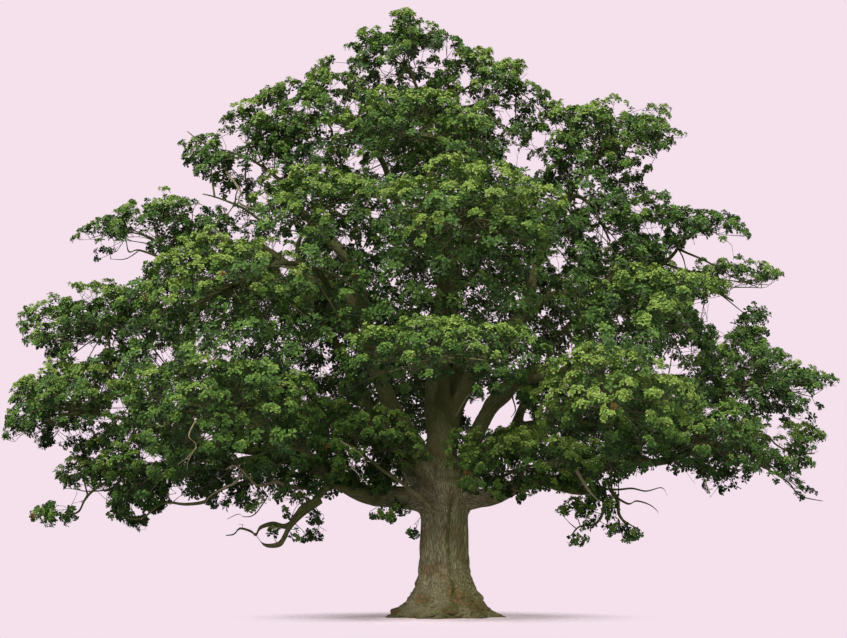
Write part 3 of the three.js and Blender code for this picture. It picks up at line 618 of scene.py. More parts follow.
def furrowed_grain():
    """A shader group: bark plates along the grain, as a height, a furrow mask and blotches."""
    tree = bpy.data.node_groups.new("bark_grain", "ShaderNodeTree")
    face = tree.interface
    face.new_socket("Grain", in_out="INPUT", socket_type="NodeSocketVector")
    for name, value in (("Ridges per Metre", 33.0), ("Stretch", 0.085), ("Warp", 0.35)):
        face.new_socket(name, in_out="INPUT", socket_type="NodeSocketFloat").default_value = value
    for name in ("Height", "Furrow", "Blotch"):
        face.new_socket(name, in_out="OUTPUT", socket_type="NodeSocketFloat")
    came = add(tree, "NodeGroupInput").outputs
    stretch = add(tree, "ShaderNodeCombineXYZ", 1.0, 1.0, came["Stretch"]).outputs[0]
    along = add(tree, "ShaderNodeVectorMath", came["Grain"], stretch, operation="MULTIPLY").outputs[0]
    scaled = add(tree, "ShaderNodeVectorMath", along, operation="SCALE", Scale=came["Ridges per Metre"])
    scaled = scaled.outputs[0]
    swirl = add(tree, "ShaderNodeTexNoise", Vector=scaled, Scale=0.45, Detail=2.0).outputs["Color"]
    warp = add(tree, "ShaderNodeVectorMath", swirl, operation="SCALE", Scale=came["Warp"]).outputs[0]
    moved = add(tree, "ShaderNodeVectorMath", scaled, warp, operation="ADD").outputs[0]
    plates = add(tree, "ShaderNodeTexVoronoi", feature="DISTANCE_TO_EDGE", Vector=moved, Scale=1.0)
    fine = add(tree, "ShaderNodeTexNoise", Vector=moved, Scale=2.6, Detail=6.0, Roughness=0.65)
    edge = sloped(tree, plates.outputs["Distance"], 0.0, 0.22)
    rough = add(tree, "ShaderNodeMath", fine.outputs["Fac"], 0.45, edge, operation="MULTIPLY_ADD")
    furrow = add(tree, "ShaderNodeMath", 1.0, edge, operation="SUBTRACT")
    blotch = add(tree, "ShaderNodeTexNoise", Vector=moved, Scale=0.16, Detail=3.0)
    add(tree, "NodeGroupOutput", rough.outputs[0], furrow.outputs[0], blotch.outputs["Fac"])
    return tree


BARK_GREY = (0.305, 0.276, 0.168, 1)
BARK_PALE = (0.435, 0.395, 0.262, 1)
BARK_BROWN = (0.270, 0.200, 0.110, 1)
FURROW_DARK = (0.060, 0.046, 0.023, 1)
LICHEN = (0.300, 0.320, 0.160, 1)
# moss green; high in the crown and out along the boughs it also stands for painted shade
MOSS_AND_SHADE = (0.075, 0.086, 0.020, 1)
GREEN_BLOOM = (0.260, 0.265, 0.080, 1)
BURR_RED = (0.400, 0.120, 0.050, 1)


def bark_material(grain_group):
    """Grey bark, then each layer over it in turn: how much of it shows, and its colour."""
    material, tree, shader = fresh_material("oak_bark")
    grain = add(tree, "ShaderNodeAttribute", attribute_name="grain").outputs["Vector"]
    wear = add(tree, "ShaderNodeAttribute", attribute_name="wear").outputs["Vector"]
    hollow, seam, foot = add(tree, "ShaderNodeSeparateXYZ", wear).outputs
    place = add(tree, "ShaderNodeTexCoord").outputs["Object"]
    bark = add(tree, "ShaderNodeGroup", node_tree=grain_group, Grain=grain).outputs
    patches = add(tree, "ShaderNodeTexNoise", Vector=place, Scale=1.3, Detail=4.0).outputs["Fac"]
    spots = add(tree, "ShaderNodeTexNoise", Vector=place, Scale=5.5, Detail=5.0).outputs["Fac"]
    normal = add(tree, "ShaderNodeNewGeometry").outputs["Normal"]
    sideways, _, upwards = add(tree, "ShaderNodeSeparateXYZ", normal).outputs
    height = add(tree, "ShaderNodeSeparateXYZ", place).outputs["Z"]
    flat = add(tree, "ShaderNodeVectorMath", place, (1, 1, 0), operation="MULTIPLY").outputs[0]
    from_trunk = add(tree, "ShaderNodeVectorMath", flat, operation="LENGTH").outputs["Value"]
    # Painted shade, partly moss: higher in the crown and further out from the trunk the bark goes over to
    # dark moss green, as if shaded by the crown.
    high, far = sloped(tree, height, 3.7, 6.2), sloped(tree, from_trunk, 1.0, 3.0)
    inner = add(tree, "ShaderNodeMath", high, far, operation="MAXIMUM").outputs[0]
    mossy = times(tree, sloped(tree, upwards, 0.25, 0.9), sloped(tree, patches, 0.4, 0.6))
    seam = times(tree, seam, sloped(tree, spots, 0.38, 0.56))
    colour = BARK_GREY
    for share, tint in (
        (bark["Blotch"], BARK_PALE),
        (sloped(tree, patches, 0.48, 0.62), BARK_BROWN),
        (times(tree, sloped(tree, spots, 0.5, 0.62), 0.6), LICHEN),
        (times(tree, foot, sloped(tree, patches, 0.52, 0.60)), BURR_RED),
        (times(tree, foot, 0.55), BARK_BROWN),
        (times(tree, sloped(tree, sideways, -0.1, 0.7), 0.5), GREEN_BLOOM),
        (times(tree, bark["Furrow"], 0.75), FURROW_DARK),
        (times(tree, sloped(tree, hollow, 0.55, 0.05), 0.3), FURROW_DARK),
        # painted shade and moss inside the crown
        (times(tree, inner, 0.78), MOSS_AND_SHADE),
        (times(tree, mossy, 0.8), MOSS_AND_SHADE),
        (times(tree, seam, 0.85), MOSS_AND_SHADE),
    ):
        colour = mixed(tree, share, colour, tint)
    ridged = sloped(tree, bark["Height"], -0.6, 1.6)
    rough = add(tree, "ShaderNodeMapRange", ridged, To_Min=1.0, To_Max=0.72).outputs[0]
    bump = add(tree, "ShaderNodeBump", Strength=0.9, Distance=0.022, Height=bark["Height"]).outputs[0]
    feed(tree, shader, {
        "Base Color": colour, "Roughness": rough, "Specular IOR Level": 0.22, "Normal": bump,
    })
    return material


bark_grain = furrowed_grain()
bark = bark_material(bark_grain)
first_limbs = [name for name, limb in LIMBS.items() if "root" in limb]
heights = np.concatenate([[-0.1], np.linspace(0, TRUNK_HEIGHT, COLUMN_RINGS)])
turns = np.linspace(0, 2 * math.pi, COLUMN_SIDES, endpoint=False)
rings = np.stack([
    np.stack([np.cos(turns) * wide, np.sin(turns) * wide, np.full(COLUMN_SIDES, height)], 1)
    for height in heights
    for wide in [trunk_radius(max(height, 0), turns)]
])
stubs = [bones[name].cut(0, STUB_LENGTH) for name in first_limbs]
shapes = [(rings.reshape(-1, 3), ringed_faces(len(heights), COLUMN_SIDES))]
shapes += [tube(stub.points, stub.radii, STUB_SIDES) for stub in stubs]
trunk = remeshed("trunk_in_bark", shapes, TRUNK_GRAIN)
coat(trunk, [TrunkBone()] + stubs, [(index + 1, True) for index in range(len(stubs))])
flat_cut(trunk)
trunk.data.materials.append(bark)
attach(trunk, "root")
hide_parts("trunk")

for family in ("stems", "left_boughs", "right_boughs", "back_boughs"):
    limb_names = [name for name, limb in LIMBS.items() if limb["wood"] == family]
    carried = [mass for name in limb_names for mass in LIMBS[name]["carries"]]
    carried += [mass for mass, sprig in TRUNK_SPRIGS.items() if sprig[2] == family]
    wood = [bones[name] for name in limb_names]
    wood += [mass_stems[mass].cut(0, BARK_REACH) for mass in carried]
    shapes = [tube(bone.points, bone.radii, BOUGH_SIDES) for bone in wood]
    piece = remeshed(f"{family}_in_bark", shapes, BOUGH_GRAIN)
    rooted = [(index, False) for index, name in enumerate(limb_names) if name in first_limbs]
    coat(piece, wood, rooted)
    piece.data.materials.append(bark)
    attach(piece, "root")
    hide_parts(*limb_names)


# The outline of the crown. The foliage ends where the tree's own outline ends, seen from the
# front, and leaves the larger gaps open through which the sky shows. Both are told across
# and up in metres, at the trunk's own distance from the eye.
EYE = np.array([-0.64, -50.0, 1.7])
LOW_LEFT_TIPS = [
    (-10.6, 4.1), (-11.2, 3.9), (-11.7, 2.9), (-12.5, 2.7), (-13.3, 3.1), (-12.6, 3.6), (-11.7, 3.6),
    (-11.4, 3.9), (-12.2, 4.0), (-12.4, 4.5), (-11.9, 5.2),
]
LEFT_SIDE = [
    (-13.1, 5.3), (-14.1, 5.4), (-13.9, 6.6), (-13.8, 7.4), (-12.7, 7.9), (-13.2, 8.3), (-14.0, 8.6),
    (-13.9, 9.7), (-12.8, 10.1), (-12.6, 10.6), (-11.8, 11.0), (-11.1, 10.7), (-9.9, 11.0),
    (-11.4, 11.2), (-11.4, 11.7), (-10.8, 11.8), (-10.2, 11.3), (-9.3, 11.4), (-10.0, 12.0),
    (-12.2, 12.0), (-11.8, 12.5), (-10.7, 13.0), (-10.1, 13.4), (-9.8, 12.8), (-9.7, 13.4),
    (-9.2, 13.4), (-9.7, 13.9), (-9.5, 14.3), (-9.1, 13.9), (-8.4, 13.9), (-7.9, 13.1), (-7.0, 13.2),
    (-7.6, 14.0), (-8.4, 14.3), (-8.7, 15.3), (-7.5, 15.7),
]
TOP_LEFT = [
    (-7.5, 16.1), (-7.1, 16.3), (-7.2, 17.1), (-6.2, 17.1), (-5.8, 17.5), (-4.6, 17.5), (-4.1, 18.0),
    (-4.0, 18.4), (-2.9, 18.7), (-2.7, 19.3), (-1.8, 19.5), (-1.7, 20.0), (-1.1, 19.9),
]
TOP_RIGHT = [
    (-0.9, 19.6), (-0.3, 19.4), (0.3, 18.9), (1.0, 18.9), (2.1, 18.6), (2.9, 18.2), (2.6, 17.5),
    (3.2, 17.2), (3.8, 16.9), (4.0, 16.5), (4.7, 16.6), (5.7, 17.0), (6.4, 16.5), (7.3, 16.7),
    (7.8, 16.2), (7.2, 16.0), (8.0, 15.6), (7.2, 14.8),
]
RIGHT_SIDE = [
    (6.6, 14.2), (6.6, 13.8), (7.3, 13.9), (8.1, 13.7), (8.1, 13.1), (9.2, 13.0), (9.8, 12.7),
    (10.1, 11.8), (9.6, 12.1), (8.3, 11.9), (8.3, 11.4), (9.4, 11.5), (10.9, 11.4), (11.1, 10.9),
    (10.2, 10.5), (9.3, 10.8), (9.3, 10.2), (8.2, 9.9), (8.4, 9.2), (9.1, 9.3), (9.7, 10.1),
    (10.6, 10.0), (11.6, 9.7), (10.4, 9.3), (10.5, 8.7), (11.2, 8.2), (12.1, 7.8), (12.8, 7.4),
    (12.0, 7.2), (12.2, 6.1), (12.5, 5.7), (11.9, 5.5), (11.9, 4.8), (11.1, 4.4),
]
UNDER_THE_RIGHT = [
    (12.2, 3.6), (11.4, 3.5), (10.8, 4.2), (10.4, 3.8), (8.5, 3.8), (7.2, 4.6), (5.5, 4.1),
    (6.4, 3.4), (5.9, 3.1), (6.5, 2.6), (5.8, 2.2), (5.4, 2.6), (4.7, 2.2), (3.8, 2.2), (4.0, 2.9),
    (3.4, 3.2), (3.9, 3.7), (4.5, 3.8), (3.1, 4.0), (2.9, 3.5), (2.1, 3.6), (1.1, 3.8), (0.3, 3.6),
]
UNDER_THE_LEFT = [
    (-0.7, 3.2), (-0.7, 2.3), (-1.2, 2.5), (-0.9, 3.1), (-1.6, 2.9), (-2.4, 3.0), (-2.2, 3.6),
    (-3.2, 3.5), (-3.9, 3.3), (-3.8, 2.4), (-5.7, 2.2), (-5.8, 2.7), (-4.9, 3.0), (-5.4, 3.4),
    (-6.8, 3.1), (-7.6, 3.5), (-8.8, 3.4), (-9.2, 2.8), (-9.8, 2.6), (-10.7, 3.1), (-10.6, 3.6),
]
CROWN_OUTLINE = (
    LOW_LEFT_TIPS + LEFT_SIDE + TOP_LEFT + TOP_RIGHT + RIGHT_SIDE + UNDER_THE_RIGHT + UNDER_THE_LEFT
)
# Gaps in the crown: across, up, half width and half height.
SKY_GAPS = [
    (1.6, 6.35, 0.55, 0.45), (2.35, 6.2, 0.4, 0.15), (3.7, 11.4, 0.28, 0.2), (5.4, 12.15, 0.35, 0.2),
    (6.85, 12.4, 0.45, 0.2), (6.3, 13.1, 0.25, 0.15), (7.8, 13.5, 0.25, 0.15), (5.75, 16.4, 0.16, 0.26),
    (3.15, 15.4, 0.26, 0.32), (2.4, 14.85, 0.36, 0.16), (3.1, 14.6, 0.2, 0.2), (2.05, 16.25, 0.32, 0.2),
    (0.75, 17.4, 0.2, 0.32), (0.65, 16.7, 0.15, 0.25), (-0.4, 17.85, 0.25, 0.18), (-1.85, 17.75, 0.2, 0.2),
    (-0.5, 15.8, 0.2, 0.16), (-2.15, 14.55, 0.32, 0.3), (-2.8, 14.75, 0.2, 0.16), (-2.9, 16.4, 0.2, 0.2),
    (-3.5, 15.8, 0.26, 0.18), (-3.45, 17.2, 0.3, 0.1), (-4.8, 16.55, 0.2, 0.14), (-6.1, 14.35, 0.26, 0.2),
    (-5.85, 13.4, 0.16, 0.2), (-7.15, 15.4, 0.2, 0.3), (-5.3, 11.8, 0.5, 0.16), (-5.05, 11.3, 0.34, 0.2),
    (-12.75, 9.4, 0.22, 0.16), (-11.5, 10.3, 0.2, 0.16), (-11.4, 8.55, 0.5, 0.12), (-8.95, 8.35, 0.2, 0.12),
    (-10.4, 6.6, 0.2, 0.2), (-10.9, 6.15, 0.35, 0.13), (-11.4, 5.7, 0.26, 0.13), (-9.3, 4.95, 0.3, 0.14),
    (-7.5, 5.6, 0.2, 0.16), (-6.3, 5.1, 0.36, 0.2), (-5.4, 3.2, 0.4, 0.22), (7.35, 7.75, 0.5, 0.16),
    (8.45, 6.5, 0.2, 0.12), (10.55, 5.8, 0.4, 0.15), (10.65, 5.4, 0.3, 0.18), (10.2, 4.35, 0.3, 0.15),
    (7.75, 11.45, 0.2, 0.12),
]


def as_seen(places):
    """Where places stand across and up, drawn from the eye to the trunk's own distance."""
    share = -EYE[1] / (places[:, 1] - EYE[1])
    seen = EYE + (places - EYE) * share[:, None]
    return seen[:, 0], seen[:, 2]


def in_crown(places, margin):
    """True where a place, with a margin round it, is inside the outline and in no gap."""
    across, up = as_seen(places)
    corners = np.array(CROWN_OUTLINE)
    following = np.roll(corners, -1, 0)
    inside = np.zeros(len(places), bool)
    nearest = np.full(len(places), 1e3)
    for (x0, z0), (x1, z1) in zip(corners, following):
        crosses = (z0 > up) != (z1 > up)
        inside ^= crosses & (across < x0 + (up - z0) * (x1 - x0) / ((z1 - z0) or 1e-9))
        length = (x1 - x0) ** 2 + (z1 - z0) ** 2
        share = np.clip(((across - x0) * (x1 - x0) + (up - z0) * (z1 - z0)) / length, 0, 1)
        away = np.hypot(across - x0 - share * (x1 - x0), up - z0 - share * (z1 - z0))
        nearest = np.minimum(nearest, away)
    inside &= nearest > margin
    inside &= (places > np.array(cad_box[0]) + margin).all(1)
    inside &= (places < np.array(cad_box[1]) - margin).all(1)
    for x, z, wide, high in SKY_GAPS:
        inside &= np.hypot((across - x) / (wide + margin), (up - z) / (high + margin)) > 1
    return inside


# Bare limbs. Under the low boughs hang living limbs that have lost most of their leaves, and
# here and there a dead one, grey and without bark, stands before the foliage.
LIMB_RINGS = 30
LIMB_SIDES = 9
CROOKED_BY = 0.06
TUBE_WEAR = (0.7, 0, 0)  # thin wood has neither hollows, a seam nor a foot
BARE_LIMBS = {  # across, up and depth of each point, then the radius at the root and the tip
    "leaning_limb": ([(-3.9, 3.65, -2.2), (-4.45, 3.25, -2.5), (-4.85, 2.8, -2.6), (-5.0, 2.5, -2.6),
        (-5.2, 2.25, -2.6), (-5.65, 2.22, -2.6), (-5.9, 2.5, -2.6)], 0.13, 0.055),
    "leaning_limb_fork": ([(-4.8, 2.9, -2.6), (-5.05, 2.8, -2.5), (-5.4, 2.88, -2.5), (-5.8, 2.75, -2.6),
        (-5.95, 2.5, -2.6), (-6.1, 2.62, -2.6), (-6.45, 2.73, -2.6), (-6.62, 2.56, -2.6),
        (-6.88, 2.52, -2.6)], 0.09, 0.012),
    "crooked_twig": ([(-6.4, 2.72, -2.6), (-6.35, 2.85, -2.6), (-6.5, 2.88, -2.6)], 0.014, 0.006),
    "low_left_limb": ([(-5.9, 4.3, -1.2), (-7.0, 4.0, -1.6), (-7.5, 3.62, -1.8), (-8.2, 3.5, -1.6),
        (-8.9, 3.52, -1.2), (-9.5, 3.1, -0.8), (-10.0, 3.0, -0.5)], 0.07, 0.022),
    "left_tip_limb": ([(-10.5, 4.3, -0.4), (-11.1, 3.95, 0), (-11.4, 3.6, 0.3), (-11.6, 3.2, 0.6),
        (-12.2, 3.15, 0.7), (-13.0, 3.2, 0.7)], 0.055, 0.015),
    "twig_by_the_low_gap": ([(-5.6, 3.7, -1.6), (-5.95, 3.2, -2), (-6.3, 3.12, -2), (-6.5, 3.2, -2),
        (-6.85, 3.03, -2)], 0.025, 0.007),
    "hanging_limb": ([(4.9, 3.95, -2.3), (5.05, 3.6, -2.4), (5.0, 3.1, -2.5), (4.75, 2.85, -2.5),
        (4.3, 2.8, -2.5), (4.0, 2.5, -2.5)], 0.06, 0.018),
    "hanging_limb_fork": ([(5.3, 3.95, -2.3), (5.5, 3.6, -2.4), (5.55, 3.2, -2.5), (5.8, 2.8, -2.5),
        (5.85, 2.45, -2.5)], 0.07, 0.02),
    "hanging_limb_side": ([(5.6, 3.05, -2.5), (5.9, 2.85, -2.5), (6.2, 2.7, -2.5)], 0.03, 0.012),
    "long_bare_twig": ([(5.0, 3.98, -2.3), (5.5, 3.97, -2.4), (5.95, 4.0, -2.5), (6.4, 3.9, -2.5),
        (6.85, 4.02, -2.5), (7.0, 3.95, -2.5), (7.08, 3.76, -2.5)], 0.04, 0.008),
    "second_bare_twig": ([(5.45, 3.72, -2.4), (5.85, 3.52, -2.5), (6.1, 3.62, -2.5), (6.5, 3.5, -2.5),
        (6.75, 3.3, -2.5), (6.78, 3.18, -2.5)], 0.04, 0.007),
    "twig_in_the_gap": ([(1.0, 6.0, 0.4), (1.2, 6.3, 0.4), (1.35, 6.6, 0.5), (1.5, 6.9, 0.5)], 0.02,
        0.008),
    "arch_twig": ([(2.2, 6.9, 0.1), (2.3, 6.5, 0.1), (2.15, 6.25, 0.1)], 0.03, 0.01),
    "upper_left_limb": ([(-5.6, 12.4, -0.6), (-6.4, 13.0, -0.8), (-7.0, 13.3, -0.8), (-7.5, 13.48, -0.8),
        (-7.85, 13.56, -0.8)], 0.055, 0.018),
    "upper_left_fork": ([(-7.45, 13.45, -0.8), (-7.55, 14.0, -0.6), (-7.6, 14.4, -0.4), (-7.4, 15.0, 0)],
        0.036, 0.015),
    "far_left_limb": ([(-8.9, 11.2, 0.3), (-9.3, 11.5, 0), (-9.9, 11.7, 0), (-10.2, 11.65, 0),
        (-10.35, 12.1, 0), (-10.7, 12.3, 0)], 0.05, 0.012),
    "far_left_twig": ([(-9.9, 11.65, 0), (-10.3, 11.4, 0), (-10.8, 11.4, 0)], 0.02, 0.008),
    "top_right_limb": ([(0.45, 16.9, 0.3), (0.8, 17.15, 0.2), (1.5, 17.45, 0.2), (2.0, 17.25, 0.2),
        (2.5, 16.95, 0.3)], 0.05, 0.015),
    "right_end_limb": ([(8.2, 5.0, -0.5), (9.3, 5.4, -0.4), (10.2, 5.7, -0.2), (10.6, 5.4, 0),
        (11.2, 5.1, 0), (11.8, 5.1, 0.1)], 0.06, 0.018),
    "right_low_limb": ([(9.6, 5.0, -0.3), (10.3, 4.6, 0), (10.9, 4.2, 0.2), (11.3, 3.75, 0.3),
        (12.0, 3.6, 0.3)], 0.045, 0.012),
}
DEAD_LIMBS = {
    "fork_by_the_low_bough": ([(-4.2, 4.0, -0.9), (-4.85, 4.05, -2.6), (-5.35, 4.2, -4), (-5.9, 4.1, -4.9),
        (-6.2, 4.35, -5.2), (-6.6, 4.72, -5.3), (-6.9, 4.6, -5.3)], 0.065, 0.022),
    "its_lower_arm": ([(-6.4, 4.5, -5.2), (-6.6, 4.18, -5.3), (-6.95, 4.0, -5.3), (-7.4, 3.75, -5.2),
        (-7.56, 3.5, -5.1)], 0.045, 0.012),
    "pale_branch_left": ([(-7.9, 6.2, -9.2), (-8.1, 5.65, -9.5), (-7.85, 5.35, -9.5), (-8.1, 4.9, -9.4),
        (-8.15, 4.55, -9.3)], 0.02, 0.008),
    "its_side_twig": ([(-7.85, 5.3, -9.5), (-8.15, 4.98, -9.5), (-8.45, 4.75, -9.5)], 0.011, 0.005),
    "yellow_twig": ([(-3.3, 5.5, -4.2), (-2.95, 5.3, -4.4), (-2.65, 5.1, -4.4), (-2.4, 4.7, -4.4)], 0.016,
        0.007),
    "second_yellow_twig": ([(-3.05, 4.9, -4.2), (-2.75, 4.5, -4.4), (-2.55, 4.2, -4.4)], 0.014, 0.006),
    "pale_branch_right": ([(7.15, 7.25, -1.5), (7.12, 6.9, -3), (7.5, 6.62, -4), (7.72, 6.5, -4),
        (7.85, 6.2, -4), (7.95, 6.0, -4)], 0.035, 0.012),
    "its_fork": ([(7.5, 6.62, -4), (7.75, 6.68, -4), (7.9, 6.4, -4)], 0.018, 0.008),
    "yellow_twig_right": ([(7.5, 5.45, -6), (7.25, 5.25, -6.2), (7.0, 5.1, -6.2)], 0.014, 0.006),
    "bare_branch_high": ([(-7.1, 14.3, -1.2), (-6.75, 13.85, -1.9), (-6.6, 13.6, -2.1),
        (-6.7, 13.35, -2.1), (-6.4, 13.15, -2.1), (-5.85, 13.05, -2), (-5.3, 13.05, -1.5)], 0.045, 0.025),
    "pale_branch_high": ([(-5.1, 14.25, -2.6), (-4.8, 14.02, -2.8), (-4.5, 13.65, -2.8)], 0.026, 0.014),
    "snag_left": ([(-7.6, 15.1, 0), (-8.0, 15.35, -0.4), (-8.4, 15.67, -0.5)], 0.04, 0.014),
    "pale_branch_low_right": ([(4.2, 4.6, -5.0), (4.55, 4.0, -5.1), (4.95, 3.55, -5.1)], 0.055, 0.012),
    "pale_branch_centre": ([(0.4, 6.3, -0.9), (0.8, 6.95, -1.4), (1.25, 7.2, -1.7), (1.5, 7.3, -1.8)],
        0.035, 0.015),
    "stub_on_the_trunk": ([(-0.75, 3.5, -0.4), (-1.05, 3.85, -0.9), (-1.25, 4.25, -1.1)], 0.09, 0.04),
    "pale_stub": ([(-0.2, 3.65, -0.85), (-0.5, 3.9, -1.15), (-0.75, 4.0, -1.3)], 0.03, 0.012),
}


def from_seen(across, up, depth):
    """The place at a depth that is seen at these metres across and up."""
    return EYE + (np.array([across, 0, up]) - EYE) * (depth - EYE[1]) / -EYE[1]


def through(points):
    """A smooth line through given points, seen from the eye."""
    bends = np.array([from_seen(*point) for point in points])
    ends = np.concatenate([[2 * bends[0] - bends[1]], bends, [2 * bends[-1] - bends[-2]]])
    t = np.linspace(0, 1, 8, endpoint=False)[:, None]
    curve = []
    for a, b, c, d in zip(ends, ends[1:], ends[2:], ends[3:]):
        bend = (c - a) * t + (2 * a - 5 * b + 4 * c - d) * t**2 + (3 * b - a - 3 * c + d) * t**3
        curve.append(b + bend / 2)
    line = np.concatenate([*curve, bends[-1:]])
    return Bone(line, np.ones(len(line))).at(np.linspace(0, 1, LIMB_RINGS))


def bare_piece(name, limbs, material, seed):
    lines, radii = [], []
    for index, (points, thick, thin) in enumerate(limbs.values()):
        lines.append(crooked(through(points), CROOKED_BY, seed + index * 1.7))
        radii.append(thin + (thick - thin) * (1 - np.linspace(0, 1, LIMB_RINGS)) ** 0.8)
    piece = placed(name, joined_tubes(name, np.stack(lines), np.stack(radii), LIMB_SIDES), material)
    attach(piece, "root")
    return lines


def side_of(normal):
    helper = np.where(np.abs(normal[..., 2:]) > 0.9, [[1.0, 0, 0]], [[0, 0, 1.0]])
    first = unit(np.cross(helper, normal))
    return first, np.cross(normal, first)


def plain_mesh(name, corners, faces):
    """A mesh from its corners and from arrays of faces, each with its own number of corners."""
    mesh = bpy.data.meshes.new(name)
    mesh.vertices.add(len(corners))
    mesh.vertices.foreach_set("co", np.ascontiguousarray(corners, np.float32).ravel())
    if not faces:
        return mesh
    loops = np.concatenate([block.ravel() for block in faces])
    sizes = np.concatenate([np.full(len(block), block.shape[1]) for block in faces])
    mesh.loops.add(len(loops))
    mesh.loops.foreach_set("vertex_index", loops.astype(np.int32))
    mesh.polygons.add(len(sizes))
    starts = np.concatenate([[0], np.cumsum(sizes)[:-1]])
    mesh.polygons.foreach_set("loop_start", starts.astype(np.int32))
    mesh.update(calc_edges=True)
    return mesh


def placed(name, mesh, *materials):
    piece = bpy.data.objects.new(name, mesh)
    bpy.context.scene.collection.objects.link(piece)
    for material in materials:
        mesh.materials.append(material)
    return piece


def joined_tubes(name, lines, radii, sides):
    """Many closed tubes as one mesh. Lines is tubes by points by 3, and radii tubes by points."""
    count, points = lines.shape[:2]
    heading = unit(lines[:, -1] - lines[:, 0])
    side, over = side_of(heading)
    turn = np.arange(sides) * 2 * math.pi / sides
    out = side[:, None, None] * np.cos(turn)[:, None] + over[:, None, None] * np.sin(turn)[:, None]
    corners = lines[:, :, None] + out * radii[:, :, None, None]
    first = np.arange(count) * points * sides
    ring = np.arange(points - 1)[:, None] * sides
    step = np.arange(sides)
    following = (step + 1) % sides
    quad = np.stack(
        [ring + step, ring + following, ring + sides + following, ring + sides + step], -1
    ).reshape(-1, 4)
    walls = (first[:, None, None] + quad).reshape(-1, 4)
    base = first[:, None] + step[::-1]
    head = first[:, None] + (points - 1) * sides + step
    mesh = plain_mesh(name, corners.reshape(-1, 3), [walls, base, head])
    run = np.cumsum(np.linalg.norm(np.diff(lines, axis=1, prepend=lines[:, :1]), axis=2), 1)
    across = np.stack([np.cos(turn), np.sin(turn)], 1) * radii[:, :, None, None]
    grain = np.concatenate([across, np.broadcast_to(run[:, :, None, None], (*corners.shape[:3], 1))], 3)
    keep(mesh, "grain", "FLOAT_VECTOR", "vector", np.ascontiguousarray(grain, np.float32))
    wear = np.tile(TUBE_WEAR, len(mesh.vertices)).astype(np.float32)
    keep(mesh, "wear", "FLOAT_VECTOR", "vector", wear)
    return mesh


def dead_wood_material(grain_group):
    """Wood that has lost its bark: grey, finely split along the grain, paler on its ridges."""
    material, tree, shader = fresh_material("dead_wood")
    grain = add(tree, "ShaderNodeAttribute", attribute_name="grain").outputs["Vector"]
    wood = add(
        tree, "ShaderNodeGroup", node_tree=grain_group, Grain=grain, Ridges_per_Metre=70.0, Stretch=0.06
    ).outputs
    colour = mixed(tree, wood["Blotch"], DEAD_GREY, DEAD_BROWN)
    colour = mixed(tree, times(tree, wood["Furrow"], 0.6), colour, FURROW_DARK)
    bump = add(tree, "ShaderNodeBump", Strength=0.6, Distance=0.008, Height=wood["Height"]).outputs[0]
    feed(tree, shader, {
        "Base Color": colour, "Roughness": 0.85, "Specular IOR Level": 0.2, "Normal": bump,
    })
    return material


DEAD_GREY = (0.34, 0.30, 0.21, 1)
DEAD_BROWN = (0.20, 0.14, 0.08, 1)
bare_lines = bare_piece("bare_limbs", BARE_LIMBS, bark, 400)
bare_piece("dead_limbs", DEAD_LIMBS, dead_wood_material(bark_grain), 460)


# The branches and twigs. Each mass's stem forks into branches, one to each clump of foliage,
# and a branch into branchlets and thin twigs that end in the sprays. The clumps lie over the
# mass's space as the solids' rosettes do, with more between them and a few further in, and
# shaded clumps fill the crown between the masses where the sky isn't seen through it.
CLUMP_REACH = 0.8
CLUMPS_PER_SQUARE_METRE = 0.42
INNER_SHARE = 0.3  # of the clumps, which lie further in
CLUMP_RADIUS = 0.82
CLUMP_FLATNESS = 0.5
INNER_REACH = 0.42
TIP_CLUMPS = ((0.55, 0.62), (1.3, 0.85))  # how far behind each tip a clump lies, and its size
RIM_DEPTH, BACK_DEPTH = 1.6, 3  # masses nearer than the first are rim, beyond the second back
SPRAYS = 41  # in a clump
RIM_SPRAYS = 46  # in a clump of a mass that stands against the sky
BACK_SPRAYS = 36  # in a clump on the far side
SPRAYS_IN_TUFT = 5
TUFT_RADIUS = 0.21
BACKING_SHARE = 0.35  # where on a branchlet, from its end, a shaded spray backs each tuft
LOW_SHARE = 0.2  # of the tufts, which hang under the clump's rim
SHADE_SPACING = 1.15  # between the shaded clumps' middles
SHADE_SPRAYS = 17
SHADE_DEPTH = 1.15  # how far they keep below the crown's surface
# painted shade: the shaded clumps' light value, which gives them the darkest tints
SHADE_LIGHT = -0.12
SHADE_MARGIN = 0.35  # kept between a shaded clump's middle and the sky
COARSE_MARGIN = 0.24  # and between a coarse spray and the sky
CROWN_MIDDLE = np.array([-0.5, 0.5, 7.5])
SHADE_SIZE = 1.42  # shaded leaves are made larger, as only their dark shape shows
BRANCH_RADII = (0.034, 0.010)
BRANCHLET_RADIUS = 0.009
TWIG_RADIUS = 0.0045
SPRAY_MARGIN = 0.01  # kept between a spray's middle and the crown's outline
SPRIG_SPRAYS = 80  # in a listed sprig a metre in radius
STEM_STEPS = np.linspace(0.2, 0.95, 16)  # along a mass's stem, where its branches may start
SPARSE_MASSES = ("right_hanging", "drooping_sprigs")  # a few sprigs on bare limbs
FINE_KINDS, COARSE_KINDS = 6, 3  # how many different rosettes there are, fine and coarse


def ball_direction(index, count, phase):
    z = 1 - ((index + 0.5) / count) * 1.7
    around = index * GOLDEN_ANGLE + phase
    flat = np.sqrt(np.maximum(0, 1 - z * z))
    return np.stack([np.cos(around) * flat, np.sin(around) * flat, z], -1)


